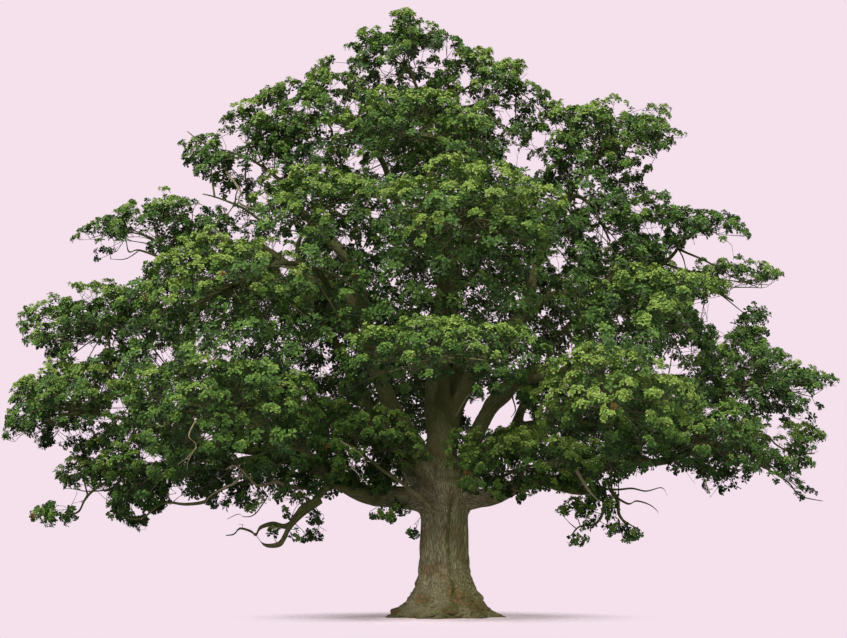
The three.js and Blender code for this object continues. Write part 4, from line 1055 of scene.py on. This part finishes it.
def clumps_of(name, draw, dice):
    """The middles of a mass's clumps, the way each faces, its size and whether it is inside."""
    at, radii, tips, _ = MASSES[name]
    at, radii = np.array(at), np.array(radii)
    mean = (radii[0] * radii[1] * radii[2]) ** (1 / 3)
    count = int(round(4 * math.pi * mean**2 * CLUMPS_PER_SQUARE_METRE))
    inner = int(round(count * INNER_SHARE))
    outer_way = ball_direction(np.arange(count - inner), count - inner, draw() * 2 * math.pi)
    inner_way = ball_direction(np.arange(inner), inner, draw() * 2 * math.pi)
    way = np.concatenate([outer_way, inner_way])
    reach = np.concatenate([np.full(count - inner, CLUMP_REACH), np.full(inner, INNER_REACH)])
    reach += dice.uniform(-0.07, 0.07, count)
    hubs = at + way * radii * reach[:, None]
    facing = unit(way / radii + np.array([0, 0, 0.55]))
    sizes = dice.uniform(0.8, 1.15, count)
    inside = reach < 0.6
    for tip in tips:
        tip = np.array(tip)
        away = unit(tip - at)
        for back, size in TIP_CLUMPS:
            hubs = np.concatenate([hubs, [tip - away * back]])
            facing = np.concatenate([facing, [unit(away * 0.5 + np.array([0, 0, 0.8]))]])
            sizes = np.append(sizes, size)
            inside = np.append(inside, False)
    return hubs, facing, sizes, inside


def shaded_clumps():
    """The middles of the clumps between the masses, and the mass each belongs to."""
    dice = np.random.RandomState(5)
    low, high = np.array([-13, -9.5, 3.4]), np.array([12, 11.8, 18.5])
    places = dice.uniform(low, high, (60000, 3))
    at = np.array([mass[0] for mass in MASSES.values()])
    radii = np.array([mass[1] for mass in MASSES.values()])
    reach = np.linalg.norm((places[:, None] - at) / radii, axis=2)
    owner = reach.argmin(1)
    reach = reach.min(1)
    away = unit(places - CROWN_MIDDLE)
    start = (CROWN_MIDDLE - at) / (radii * 1.3)
    step = away[:, None] / (radii * 1.3)
    a, b, c = (step * step).sum(2), (start * step).sum(2), (start * start).sum(1) - 1
    leaving = np.where(b * b > a * c, (np.sqrt(np.maximum(b * b - a * c, 0)) - b) / a, 0).max(1)
    deep = np.linalg.norm(places - CROWN_MIDDLE, axis=1) < leaving - SHADE_DEPTH
    heart = (np.abs(places[:, 0]) < 4.2) & (places[:, 2] < 8.2) & (places[:, 1] < 0.9)
    behind_fork = (places[:, 1] > 1.2) & (places[:, 1] < 7) & (np.abs(places[:, 0]) < 5.5)
    deep |= behind_fork & (places[:, 2] > 4.2) & (places[:, 2] < 7.5)
    over_fork = (np.abs(places[:, 0]) < 5) & (np.abs(places[:, 1] + 2.6) < 3.6)
    over_fork &= (places[:, 2] > 8.3) & (places[:, 2] < 12.5)
    deep |= over_fork
    wanted = (reach > 0.9) & ((reach < 1.7) | behind_fork | over_fork) & deep & ~heart
    wanted &= in_crown(places, SHADE_MARGIN)
    spacing = np.where(over_fork, 1.1, 1) * SHADE_SPACING
    chosen = np.zeros((0, 3))
    owners = []
    for place, mass, room in zip(places[wanted], owner[wanted], spacing[wanted]):
        if not len(chosen) or ((chosen - place) ** 2).sum(1).min() > room**2:
            chosen = np.concatenate([chosen, [place]])
            owners.append(mass)
    return chosen, owners


# Sprigs on the low boughs and bare limbs, listed one by one: across, up and depth of the middle, and radius.
SPRIGS = {
    "near_left": [
        (-1.0, 2.75, -0.5, 0.34), (-1.15, 2.45, -0.4, 0.26), (-1.2, 4.6, -1.5, 0.5), (-2.0, 4.5, -1.7, 0.55),
        (-2.9, 4.7, -1.8, 0.55), (-1.7, 5.2, -1.8, 0.55), (-2.5, 5.3, -1.9, 0.55), (-3.4, 5.2, -2.0, 0.5),
        (-3.5, 4.5, -1.8, 0.45),
    ],
    "near_right": [
        (0.55, 4.95, -2.2, 0.42), (1.15, 5.3, -2.4, 0.5), (0.95, 4.35, -2.2, 0.45), (1.8, 4.75, -2.6, 0.55),
        (1.7, 4.1, -2.5, 0.45), (2.5, 4.4, -2.8, 0.55), (2.6, 5.2, -3.0, 0.55), (3.2, 4.1, -2.8, 0.45),
        (1.9, 5.5, -2.6, 0.5), (0.5, 5.5, -2.2, 0.3),
    ],
    "left_low_mid": [
        (-1.8, 3.3, -0.9, 0.36), (-2.12, 3.25, -0.9, 0.28), (-1.4, 3.4, -0.8, 0.3), (-2.2, 4.0, -0.9, 0.4),
        (-3.0, 4.2, -1.0, 0.45),
    ],
    "right_low_mid": [
        (3.9, 4.5, -2.6, 0.5), (4.6, 4.4, -2.6, 0.5), (3.5, 4.3, -2.7, 0.4), (5.3, 4.6, -2.6, 0.5),
        (2.5, 7.0, 1.4, 0.42), (2.75, 6.6, 1.4, 0.4), (2.1, 7.3, 1.4, 0.38), (2.9, 7.2, 1.2, 0.4),
    ],
    "left_front_low": [
        (-10.6, 4.6, -0.6, 0.5), (-9.6, 4.4, -1.2, 0.5), (-8.7, 4.5, -1.6, 0.55), (-7.8, 4.4, -1.7, 0.5),
        (-6.9, 4.6, -1.7, 0.55), (-6.0, 4.6, -1.8, 0.5), (-5.0, 4.6, -1.8, 0.55), (-4.2, 4.4, -1.8, 0.5),
        (-10.0, 5.3, -1.0, 0.55), (-8.2, 5.2, -2.0, 0.55), (-6.4, 5.3, -2.0, 0.55), (-4.7, 5.3, -2.0, 0.55),
        (-6.1, 5.15, -2.2, 0.45), (-5.6, 5.2, -2.2, 0.45), (-8.9, 3.95, -0.9, 0.42), (-8.2, 3.9, -1.0, 0.42),
        (-7.4, 3.95, -1.1, 0.42), (-6.7, 4.0, -1.2, 0.42),
    ],
    "left_low_tip": [
        (-12.75, 3.3, 0.4, 0.27), (-12.25, 3.1, 0.4, 0.26), (-11.75, 3.15, 0.4, 0.3),
        (-13.1, 3.15, 0.5, 0.2), (-10.4, 3.3, -0.4, 0.4), (-10.0, 3.05, -0.4, 0.4),
        (-9.5, 2.95, -0.5, 0.35), (-9.3, 3.4, -0.6, 0.35), (-9.9, 3.6, -0.5, 0.4),
    ],
    "left_far_lower": [
        (-11.7, 6.3, -0.8, 0.5), (-11.2, 5.9, -0.8, 0.5), (-11.6, 5.5, -0.6, 0.45),
        (-11.0, 5.3, -0.6, 0.45), (-10.9, 6.5, -0.8, 0.5), (-10.4, 6.2, -0.8, 0.5),
    ],
    "left_far_upper": [
        (-11.2, 8.5, -0.6, 0.5), (-10.7, 8.2, -0.6, 0.5), (-8.9, 8.4, -1.5, 0.5), (-8.3, 8.3, -1.8, 0.5),
    ],
    "drooping_sprigs": [
        (-3.95, 2.75, -2.4, 0.3), (-3.9, 3.15, -2.3, 0.22), (-4.35, 2.6, -2.5, 0.26),
        (-4.2, 3.2, -2.4, 0.2), (-5.35, 2.5, -2.6, 0.24), (-4.75, 2.45, -2.6, 0.16),
        (-5.0, 3.2, -2.5, 0.2), (-4.5, 3.55, -2.3, 0.25), (-5.95, 3.35, -2.2, 0.25),
    ],
    "right_hanging": [
        (4.15, 3.45, -2.5, 0.42), (4.6, 3.3, -2.4, 0.36), (3.75, 3.2, -2.5, 0.24),
        (4.75, 2.9, -2.5, 0.3), (4.1, 2.5, -2.5, 0.28), (4.45, 2.3, -2.5, 0.16), (5.1, 2.85, -2.5, 0.26),
        (5.5, 3.35, -2.5, 0.34), (6.05, 3.45, -2.5, 0.24), (5.75, 2.85, -2.5, 0.3),
        (6.15, 2.6, -2.5, 0.36), (5.8, 2.4, -2.5, 0.22), (4.85, 3.7, -2.4, 0.3),
    ],
}


class Growth:
    """What has grown so far: branches, branchlets, twigs, and a spray at each twig's end."""

    def __init__(self):
        self.branches, self.thickness, self.branchlets, self.twigs = [], [], [], []
        self.places, self.axes, self.light, self.mass, self.size, self.kind = ([] for _ in range(6))

    def clump(self, dice, mass, start, lead, hub, facing, radius, sprays, flatness, coarse, light):
        """A branch from its start, by way of its lead, to the tufts of sprays round a hub."""
        side, over = (row[0] for row in side_of(facing[None]))
        tufts = int(np.clip(round(sprays / SPRAYS_IN_TUFT), 2, 8))
        order = np.arange(tufts)
        share = np.sqrt((order + 0.4) / tufts)
        around = order * GOLDEN_ANGLE + dice.uniform(0, 6.28)
        rise = flatness * np.sqrt(1 - share**2) - 0.12 * share + dice.normal(0, 0.09, tufts)
        low = dice.uniform(size=tufts) < LOW_SHARE
        rise[low] -= dice.uniform(0.35, 0.6, low.sum())
        reach = np.cos(around)[:, None] * side + np.sin(around)[:, None] * over
        ends = hub + radius * (reach * share[:, None] + facing * rise[:, None])
        tuft = np.arange(sprays) % tufts
        order = np.arange(sprays) // tufts
        share = np.sqrt((order + 0.5) / (order.max() + 1))
        around = order * GOLDEN_ANGLE + dice.uniform(0, 6.28, tufts)[tuft]
        flat = np.stack([np.cos(around) * share, np.sin(around) * share, 0.7 * np.sqrt(1 - share**2)], 1)
        flat += dice.normal(0, 0.12, flat.shape)
        width = TUFT_RADIUS * (1.5 if coarse else 1) * dice.uniform(0.8, 1.2, tufts)[tuft, None]
        out = flat[:, :1] * side + flat[:, 1:2] * over + flat[:, 2:] * facing
        places = ends[tuft] + width * out
        outwards = unit(ends - hub + facing * radius * 0.6)[tuft]
        axes = unit(outwards * 0.8 + out + np.array([0, 0, 0.35]) + dice.normal(0, 0.15, places.shape))
        kept = in_crown(places, COARSE_MARGIN if coarse else SPRAY_MARGIN)
        if kept.sum() < 2 or not in_crown(hub[None], 0.0)[0]:
            return
        foot = hub - facing * radius * 0.3
        t = np.linspace(0, 1, 8)[:, None]
        line = start * (1 - t) ** 2 + lead * 2 * t * (1 - t) + foot * t**2
        self.branches.append(crooked(line, 0.15, len(self.branches) * 3.1 + 200))
        self.thickness.append(np.clip(np.linalg.norm(foot - start) / 2.2, 0.5, 1.25))
        used = np.unique(tuft[kept])
        starts = self.branches[-1][-1 - used % 3]
        ends_used = ends[used] - facing * 0.05
        middle = (starts + ends_used) / 2 + dice.normal(0, 0.05, ends_used.shape)
        self.branchlets.append(np.stack([starts, middle, ends_used], 1))
        if not coarse:
            backs = middle * BACKING_SHARE + ends_used * (1 - BACKING_SHARE)
            backs = backs[in_crown(backs, 0.18)]
            ways = unit(unit(backs - hub + facing * radius * 0.6) + dice.normal(0, 0.3, backs.shape))
            # painted shade: the backing sprays take darker tints, a little lighter where they face up
            self.spray(dice, backs, ways, light - 0.27 + 0.15 * ways[:, 2], mass, True)
        places, axes, tuft = places[kept], axes[kept], tuft[kept]
        place = np.searchsorted(used, tuft)
        leaving = dice.uniform(0.55, 1.0, len(places))[:, None]
        roots = middle[place] * (1 - leaving) + ends_used[place] * leaving
        self.twigs.append(np.stack([roots, places], 1))
        height = (places - hub) @ facing / radius
        # painted light: sprays that face up or to the front, and those high in the clump, take lighter tints
        bright = light + 0.30 * axes[:, 2] - 0.10 * axes[:, 1] + 0.20 * height + 0.16 * out[kept, 2]
        self.spray(dice, places, axes, bright + dice.normal(0, 0.08), mass, coarse)

    def spray(self, dice, places, axes, light, mass, coarse):
        self.places.append(places)
        self.axes.append(axes)
        self.light.append(light + dice.normal(0, 0.085, len(places)))
        self.mass.append(np.full(len(places), mass))
        self.size.append(dice.uniform(0.8, 1.15, len(places)) * (SHADE_SIZE if coarse else 1))
        first, kinds = (FINE_KINDS, COARSE_KINDS) if coarse else (0, FINE_KINDS)
        self.kind.append(first + dice.randint(0, kinds, len(places)))


def clear_start(hub, start):
    """Where a branch leaves the wood: as drawn, or nearer by if it would cross open sky."""
    nearest = ((carriers - hub) ** 2).sum(1).argsort()
    choices = np.concatenate([[start], carriers[nearest[:60:3]]])
    lines = choices[:, None] + (hub - choices)[:, None] * np.linspace(0, 1, 9)[:, None]
    covered = in_crown(lines.reshape(-1, 3), 0.0).reshape(len(choices), -1).mean(1)
    score = covered - 0.12 * np.linalg.norm(choices - hub, axis=1)
    return choices[0] if covered[0] > 0.85 else choices[score.argmax()]


carriers = [bones[name].at(np.linspace(0.25, 1, 24)) for name in LIMBS]
carriers += [stem.at(np.linspace(0, 0.95, 12)) for stem in mass_stems.values()]
carriers = np.concatenate(carriers + [line[4::3] for line in bare_lines])
growth = Growth()
for mass_index, (name, (at, radii, tips, sun)) in enumerate(MASSES.items()):
    if name in SPARSE_MASSES:
        continue
    draw = seeded(101 + mass_index)
    dice = np.random.RandomState(101 + mass_index)
    stem = mass_stems[name]
    for hub, facing, size, inside in zip(*clumps_of(name, draw, dice)):
        closest = STEM_STEPS[((stem.at(STEM_STEPS) - hub) ** 2).sum(1).argmin()]
        share = (0.3 + 0.65 * draw() + closest) / 2
        start = clear_start(hub, stem.at(share))
        lead = start + stem.heading(share) * np.linalg.norm(hub - start) * 0.3 + (hub - start) * 0.15
        # painted light: clumps inside a mass take dark tints, the rest lighter by the mass's sunlight and
        # their height in it
        light = -0.08 if inside else 0.48 * sun + 0.2 * (hub[2] - at[2]) / radii[2]
        full = BACK_SPRAYS if at[1] > BACK_DEPTH else RIM_SPRAYS if abs(at[1]) < RIM_DEPTH else SPRAYS
        sprays = int(round(full * size**1.6)) if not inside else SHADE_SPRAYS
        growth.clump(
            dice, mass_index, start, lead, hub, facing, CLUMP_RADIUS * size, sprays,
            CLUMP_FLATNESS, inside, light,
        )

dice = np.random.RandomState(9)
bare_wood = bare_lines + [bone.at(np.linspace(0, 1, 40)) for bone in bones.values()]
bare_wood = np.concatenate(bare_wood + [stem.at(np.linspace(0, 0.95, 12)) for stem in mass_stems.values()])
for name, sprigs in SPRIGS.items():
    # painted light: sprigs take lighter tints by their mass's sunlight
    light = 0.05 + 0.5 * MASSES[name][3]
    for across, up, depth, radius in sprigs:
        hub = from_seen(across, up, depth)
        start = bare_wood[((bare_wood - hub) ** 2).sum(1).argmin()]
        facing = unit(unit(hub - start) + dice.normal(0, 0.3, 3))
        sprays = int(round(SPRIG_SPRAYS * radius**1.5))
        growth.clump(
            dice, list(MASSES).index(name), start, (start + hub) / 2, hub, facing, radius, sprays,
            0.9, False, light,
        )

dice = np.random.RandomState(6)
for hub, mass_index in zip(*shaded_clumps()):
    start = clear_start(hub, carriers[((carriers - hub) ** 2).sum(1).argmin()])
    facing = unit(unit(hub - CROWN_MIDDLE) * np.array([1, 1, 0.6]) + np.array([0, 0, 0.5]))
    lead = (start + hub) / 2 + np.array([0, 0, 0.12]) * np.linalg.norm(hub - start)
    growth.clump(
        dice, mass_index, start, lead, hub, facing, 0.95, SHADE_SPRAYS, 0.8, True, SHADE_LIGHT,
    )


def spikes(name, roots, tips, radius):
    """Thin three-sided twigs, each closed at its root and ending in a point."""
    side, over = side_of(unit(tips - roots))
    turn = np.arange(3) * 2 * math.pi / 3
    out = side[:, None] * np.cos(turn)[:, None] + over[:, None] * np.sin(turn)[:, None]
    corners = np.concatenate([roots[:, None] + out * radius, tips[:, None]], 1)
    faces = np.array([(0, 1, 3), (1, 2, 3), (2, 0, 3), (2, 1, 0)])
    faces = (np.arange(len(roots))[:, None, None] * 4 + faces).reshape(-1, 3)
    return plain_mesh(name, corners.reshape(-1, 3), [faces])


def plain_finish(name, colour, roughness, shine):
    """A finish of one plain colour, for pieces of thousands of small forms."""
    material, tree, shader = fresh_material(name)
    feed(tree, shader, {
        "Base Color": (*colour, 1), "Roughness": roughness, "Specular IOR Level": shine,
    })
    return material


lines = np.stack([stem.at(np.linspace(0, 1, 12)) for stem in mass_stems.values()])
radii = np.tile(np.linspace(STEM_RADII[0] - 0.006, STEM_RADII[1], 12), (len(lines), 1))
stems = placed("stems_of_the_masses", joined_tubes("stems_of_the_masses", lines, radii, 8), bark)
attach(stems, "root")

lines = np.stack(growth.branches)
taper = np.linspace(1, 0, lines.shape[1])
radii = BRANCH_RADII[1] + (BRANCH_RADII[0] - BRANCH_RADII[1]) * taper
radii = radii[None] * np.array(growth.thickness)[:, None]
branches = placed("branches", joined_tubes("branches", lines, radii, 4), bark)
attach(branches, "root")

twig_bark = [
    plain_finish("twig_grey", (0.085, 0.074, 0.052), 0.85, 0.25),
    plain_finish("twig_brown", (0.062, 0.046, 0.028), 0.8, 0.3),
    plain_finish("twig_green", (0.060, 0.066, 0.026), 0.75, 0.3),
]
lines = np.concatenate(growth.branchlets)
radii = np.tile([1.25, 1.0, 0.6], (len(lines), 1)) * BRANCHLET_RADIUS
branchlets = placed("branchlets", joined_tubes("branchlets", lines, radii, 3), *twig_bark[:2])
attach(branchlets, "root")

lines = np.concatenate(growth.twigs)
twigs = placed("twigs", spikes("twigs", lines[:, 0], lines[:, 1], TWIG_RADIUS), twig_bark[2])
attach(twigs, "root")


# The leaves. An oak's leaves are lobed, widest beyond the middle, and stand in a rosette
# round the end of each twig, the inner ones young and upright and the outer ones spread. A
# few rosettes are made, each leaf folded a little along its midrib, and one is set on the
# end of every twig. Their greens are painted light: sprays where the sun would fall take
# yellow-green tints and shaded ones deep green.
LEAF_LENGTH = 0.134
FINE_LEAVES, COARSE_LEAVES = 14, 8  # in a rosette
LOBED_LEAVES = 4  # of the fine ones, the outermost; the rest are too small to show their lobes
LEAF_SPAN = 0.33  # from the midrib to the tip of the widest lobe, as a share of the length
LEAF_FOLD = 0.30
LEAF_DROOP = 0.22
# Painted light: the first seven tints are one leaf green lit and shaded, from painted shade to painted
# sunlight; the last is the rusty tint of autumn.
LEAF_TINTS = [
    ("leaf_shade", (0.015, 0.036, 0.006)),
    ("leaf_deep", (0.025, 0.059, 0.010)),
    ("leaf_part_shaded", (0.040, 0.090, 0.015)),
    ("leaf_green", (0.061, 0.128, 0.021)),
    ("leaf_part_sunlit", (0.092, 0.170, 0.029)),
    ("leaf_sunny", (0.138, 0.223, 0.041)),
    ("leaf_most_sunlit", (0.200, 0.285, 0.058)),
    ("leaf_rusty", (0.165, 0.085, 0.020)),
]
TINT_STEPS = [0.05, 0.18, 0.31, 0.45, 0.58, 0.72]
RUSTY_SHARE = 0.002
FOLIAGE_PIECES = {
    "leaves_top": ["crown_top", "top_right", "top_left", "top_back", "top_front"],
    "leaves_shoulders": ["upper_left", "upper_right", "inner_right", "inner_left", "back_high"],
    "leaves_front": ["front_high", "front_left_high", "left_bright", "right_front", "centre_front",
                     "right_bright"],
    "leaves_left": ["mid_left", "left_far_upper", "left_far_lower", "left_low_tip"],
    "leaves_low_left": ["near_left", "left_front_low", "left_low_mid", "drooping_sprigs"],
    "leaves_right": ["mid_right", "right_outer", "right_far", "right_low_far", "right_low_mid",
                     "right_hanging", "near_right"],
    "leaves_back_high": ["back_left", "back_right"],
    "leaves_back_low": ["back_low_left", "back_low_right", "back_low_middle"],
}


def rosette(name, seed, leaves, lobed):
    """One spray of unit leaves round +Z, its outer leaves with two lobes a side."""
    dice = np.random.RandomState(seed)
    corners = []
    for leaf in range(leaves):
        share = leaf / (leaves - 1)
        length = (0.55 + 0.45 * share) * dice.uniform(0.85, 1.15)
        rise = math.radians(64 - 74 * share + dice.uniform(-12, 12))
        turn = leaf * GOLDEN_ANGLE + dice.uniform(-0.25, 0.25)
        roll = dice.uniform(-0.5, 0.5)
        if leaf >= leaves - lobed:
            along, across = np.array([0, 0.40, 0.56, 0.36, 0.78, 1.0]), np.array([0, 0.72, 0, 0, 1.0, 0])
        else:
            along, across = np.array([0, 0.64, 1.0]), np.array([0, 1.0, 0])
        for half in (1, -1):
            x, y = along, across * LEAF_SPAN * half
            z = np.abs(y) * LEAF_FOLD - LEAF_DROOP * x**2
            y, z = y * math.cos(roll) - z * math.sin(roll), y * math.sin(roll) + z * math.cos(roll)
            x, z = x * math.cos(rise) - z * math.sin(rise), x * math.sin(rise) + z * math.cos(rise)
            x, y, z = x * length + 0.04, y * length, z * length - 0.25 * share
            x, y = x * math.cos(turn) - y * math.sin(turn), x * math.sin(turn) + y * math.cos(turn)
            lobes = np.stack([x, y, z], 1).reshape(-1, 3, 3)
            corners.append((lobes if half > 0 else lobes[:, ::-1]).reshape(-1, 3))
    corners = np.concatenate(corners)
    faces = np.arange(len(corners)).reshape(-1, 3)[:, ::-1]
    return plain_mesh(name, corners, [faces])


def named_value(tree, name, kind):
    return add(tree, "GeometryNodeInputNamedAttribute", data_type=kind, Name=name).outputs[0]


def spray_tree(tints):
    """Geometry Nodes that set a rosette on each twig's end, by the values kept there."""
    tree = bpy.data.node_groups.new("sprays_on_twigs", "GeometryNodeTree")
    face = tree.interface
    face.new_socket("Twig Ends", in_out="INPUT", socket_type="NodeSocketGeometry")
    face.new_socket("Rosettes", in_out="INPUT", socket_type="NodeSocketCollection")
    face.new_socket("Leaf Length", in_out="INPUT", socket_type="NodeSocketFloat")
    face.new_socket("Leaves", in_out="OUTPUT", socket_type="NodeSocketGeometry")
    came = add(tree, "NodeGroupInput").outputs
    kinds = add(
        tree, "GeometryNodeCollectionInfo", Collection=came["Rosettes"],
        Separate_Children=True, Reset_Children=True,
    )
    sprays = add(
        tree, "GeometryNodeInstanceOnPoints", Points=came["Twig Ends"], Instance=kinds.outputs[0],
        Pick_Instance=True, Instance_Index=named_value(tree, "kind", "INT"),
        Rotation=named_value(tree, "stance", "QUATERNION"),
        Scale=times(tree, named_value(tree, "size", "FLOAT"), came["Leaf Length"]),
    )
    leaves = add(tree, "GeometryNodeRealizeInstances", sprays.outputs[0]).outputs[0]
    tint = named_value(tree, "tint", "INT")
    for index, material in enumerate(tints):
        chosen = add(
            tree, "FunctionNodeCompare", None, None, tint, index, data_type="INT", operation="EQUAL"
        ).outputs[0]
        dressed = add(
            tree, "GeometryNodeSetMaterial", Geometry=leaves, Selection=chosen, Material=material
        )
        leaves = dressed.outputs[0]
    add(tree, "NodeGroupOutput", leaves)
    return tree


def standing(axes, spin):
    """The turns, as quaternions, that stand +Z on each axis after a spin about it."""
    half = spin / 2
    dot = np.clip(axes[:, 2], -0.9999, 1)
    lean = np.stack([1 + dot, -axes[:, 1], axes[:, 0], np.zeros(len(axes))], 1)
    w1, x1, y1, z1 = unit(lean).T
    w2, z2 = np.cos(half), np.sin(half)
    return np.stack([w1 * w2 - z1 * z2, x1 * w2 + y1 * z2, y1 * w2 - x1 * z2, w1 * z2 + z1 * w2], 1)


tint_materials = [plain_finish(name, colour, 0.56, 0.22) for name, colour in LEAF_TINTS]
rosettes = bpy.data.collections.new("rosettes")
for index in range(FINE_KINDS + COARSE_KINDS):
    leaves, lobed = (FINE_LEAVES, LOBED_LEAVES) if index < FINE_KINDS else (COARSE_LEAVES, 0)
    mesh = rosette(f"rosette_{index}", 900 + index, leaves, lobed)
    rosettes.objects.link(bpy.data.objects.new(f"rosette_{index}", mesh))
tree = spray_tree(tint_materials)
sockets = {item.name: item.identifier for item in tree.interface.items_tree}
spray_places = np.concatenate(growth.places)
spray_axes = np.concatenate(growth.axes)
spray_masses = np.concatenate(growth.mass)
mass_names = list(MASSES)
dice = np.random.RandomState(77)
# painted light: each spray's tint is picked by its light value
spray_tints = np.searchsorted(TINT_STEPS, np.concatenate(growth.light))
turned = dice.uniform(size=len(spray_tints)) < RUSTY_SHARE
spray_tints[turned & (np.concatenate(growth.kind) < FINE_KINDS)] = len(LEAF_TINTS) - 1
stances = standing(spray_axes, dice.uniform(0, 2 * math.pi, len(spray_axes)))
kept_values = (
    ("stance", "QUATERNION", stances.astype(np.float32)),
    ("size", "FLOAT", np.concatenate(growth.size).astype(np.float32)),
    ("kind", "INT", np.concatenate(growth.kind).astype(np.int32)),
    ("tint", "INT", spray_tints.astype(np.int32)),
)
for name, masses in FOLIAGE_PIECES.items():
    here = np.isin(spray_masses, [mass_names.index(mass) for mass in masses])
    mesh = plain_mesh(name, spray_places[here], [])
    for value, kind, numbers in kept_values:
        keep(mesh, value, kind, "value", numbers[here])
    piece = placed(name, mesh)
    grow = piece.modifiers.new("sprays", "NODES")
    grow.node_group = tree
    grow[sockets["Rosettes"]] = rosettes
    grow[sockets["Leaf Length"]] = LEAF_LENGTH
    graph = bpy.context.evaluated_depsgraph_get()
    piece.data = bpy.data.meshes.new_from_object(piece.evaluated_get(graph))
    piece.modifiers.clear()
    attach(piece, "root")
    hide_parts(*masses)


# The stage: a pale floor that fades into the backdrop, soft light from all round the sky and
# from a high broad lamp before the tree and to its left, and the camera at eye level.
BACKDROP = (0.905, 0.752, 0.838)
FLOOR_RADIUS = 34.0
FLOOR_SIDES = 96
FLOOR_HEIGHT = -0.004  # just under the cut
FLOOR_SHADE = 0.85  # against the backdrop
CLEAR_RADIUS = 7.0  # where the floor has faded away
SKY_STRENGTH = 1.42
LAMP_STRENGTH = 3.15
LENS = 66.73
TILT = 8.79  # degrees above level


def stage_floor():
    corners = [(math.cos(turn) * FLOOR_RADIUS, math.sin(turn) * FLOOR_RADIUS, FLOOR_HEIGHT)
               for turn in np.linspace(0, 2 * math.pi, FLOOR_SIDES, endpoint=False)]
    mesh = bpy.data.meshes.new("floor")
    mesh.from_pydata(corners, [], [tuple(range(FLOOR_SIDES))])
    material, tree, shader = fresh_material("pale_floor")
    place = add(tree, "ShaderNodeTexCoord").outputs["Object"]
    away = add(tree, "ShaderNodeVectorMath", place, operation="LENGTH").outputs["Value"]
    fade = add(
        tree, "ShaderNodeMapRange", away, CLEAR_RADIUS * 0.2, CLEAR_RADIUS, 1.0, 0.0,
        interpolation_type="SMOOTHSTEP",
    ).outputs[0]
    feed(tree, shader, {
        "Base Color": (*(FLOOR_SHADE * part for part in BACKDROP), 1), "Roughness": 1.0,
        "Specular IOR Level": 0.0, "Alpha": fade,
    })
    return placed("floor", mesh, material)


floor = stage_floor()

world = bpy.data.worlds.new("soft_sky")
bpy.context.scene.world = world
world.use_nodes = True
sky = world.node_tree
background = sky.nodes["Background"]
backdrop = add(sky, "ShaderNodeBackground", (*BACKDROP, 1))
way = add(sky, "ShaderNodeTexCoord").outputs["Generated"]
upwards = add(sky, "ShaderNodeSeparateXYZ", way).outputs["Z"]
height = sloped(sky, upwards, -0.25, 0.75)
sky_colour = mixed(sky, height, (0.26, 0.265, 0.22, 1), (1.3, 1.3, 1.22, 1))
feed(sky, background, {"Color": sky_colour, "Strength": SKY_STRENGTH})
straight = add(sky, "ShaderNodeLightPath").outputs["Is Camera Ray"]
choose = add(sky, "ShaderNodeMixShader", straight, background.outputs[0], backdrop.outputs[0])
feed(sky, sky.nodes["World Output"], {"Surface": choose.outputs[0]})

sun_light = bpy.data.lights.new("high_soft_lamp", "SUN")
sun_light.energy = LAMP_STRENGTH
sun_light.angle = math.radians(14)
sun_light.color = (1.0, 0.965, 0.88)
sun = bpy.data.objects.new("high_soft_lamp", sun_light)
sun.rotation_euler = (math.radians(38), math.radians(-16), math.radians(-6))
bpy.context.scene.collection.objects.link(sun)

camera = bpy.data.cameras.new("camera")
camera.sensor_width = 36.0
camera.lens = LENS
camera.clip_end = 500.0
eye = bpy.data.objects.new("camera", camera)
eye.location = tuple(EYE)
eye.rotation_euler = (math.radians(90 + TILT), 0, 0)
bpy.context.scene.collection.objects.link(eye)
bpy.context.scene.camera = eye
bpy.context.scene.view_settings.view_transform = "Standard"
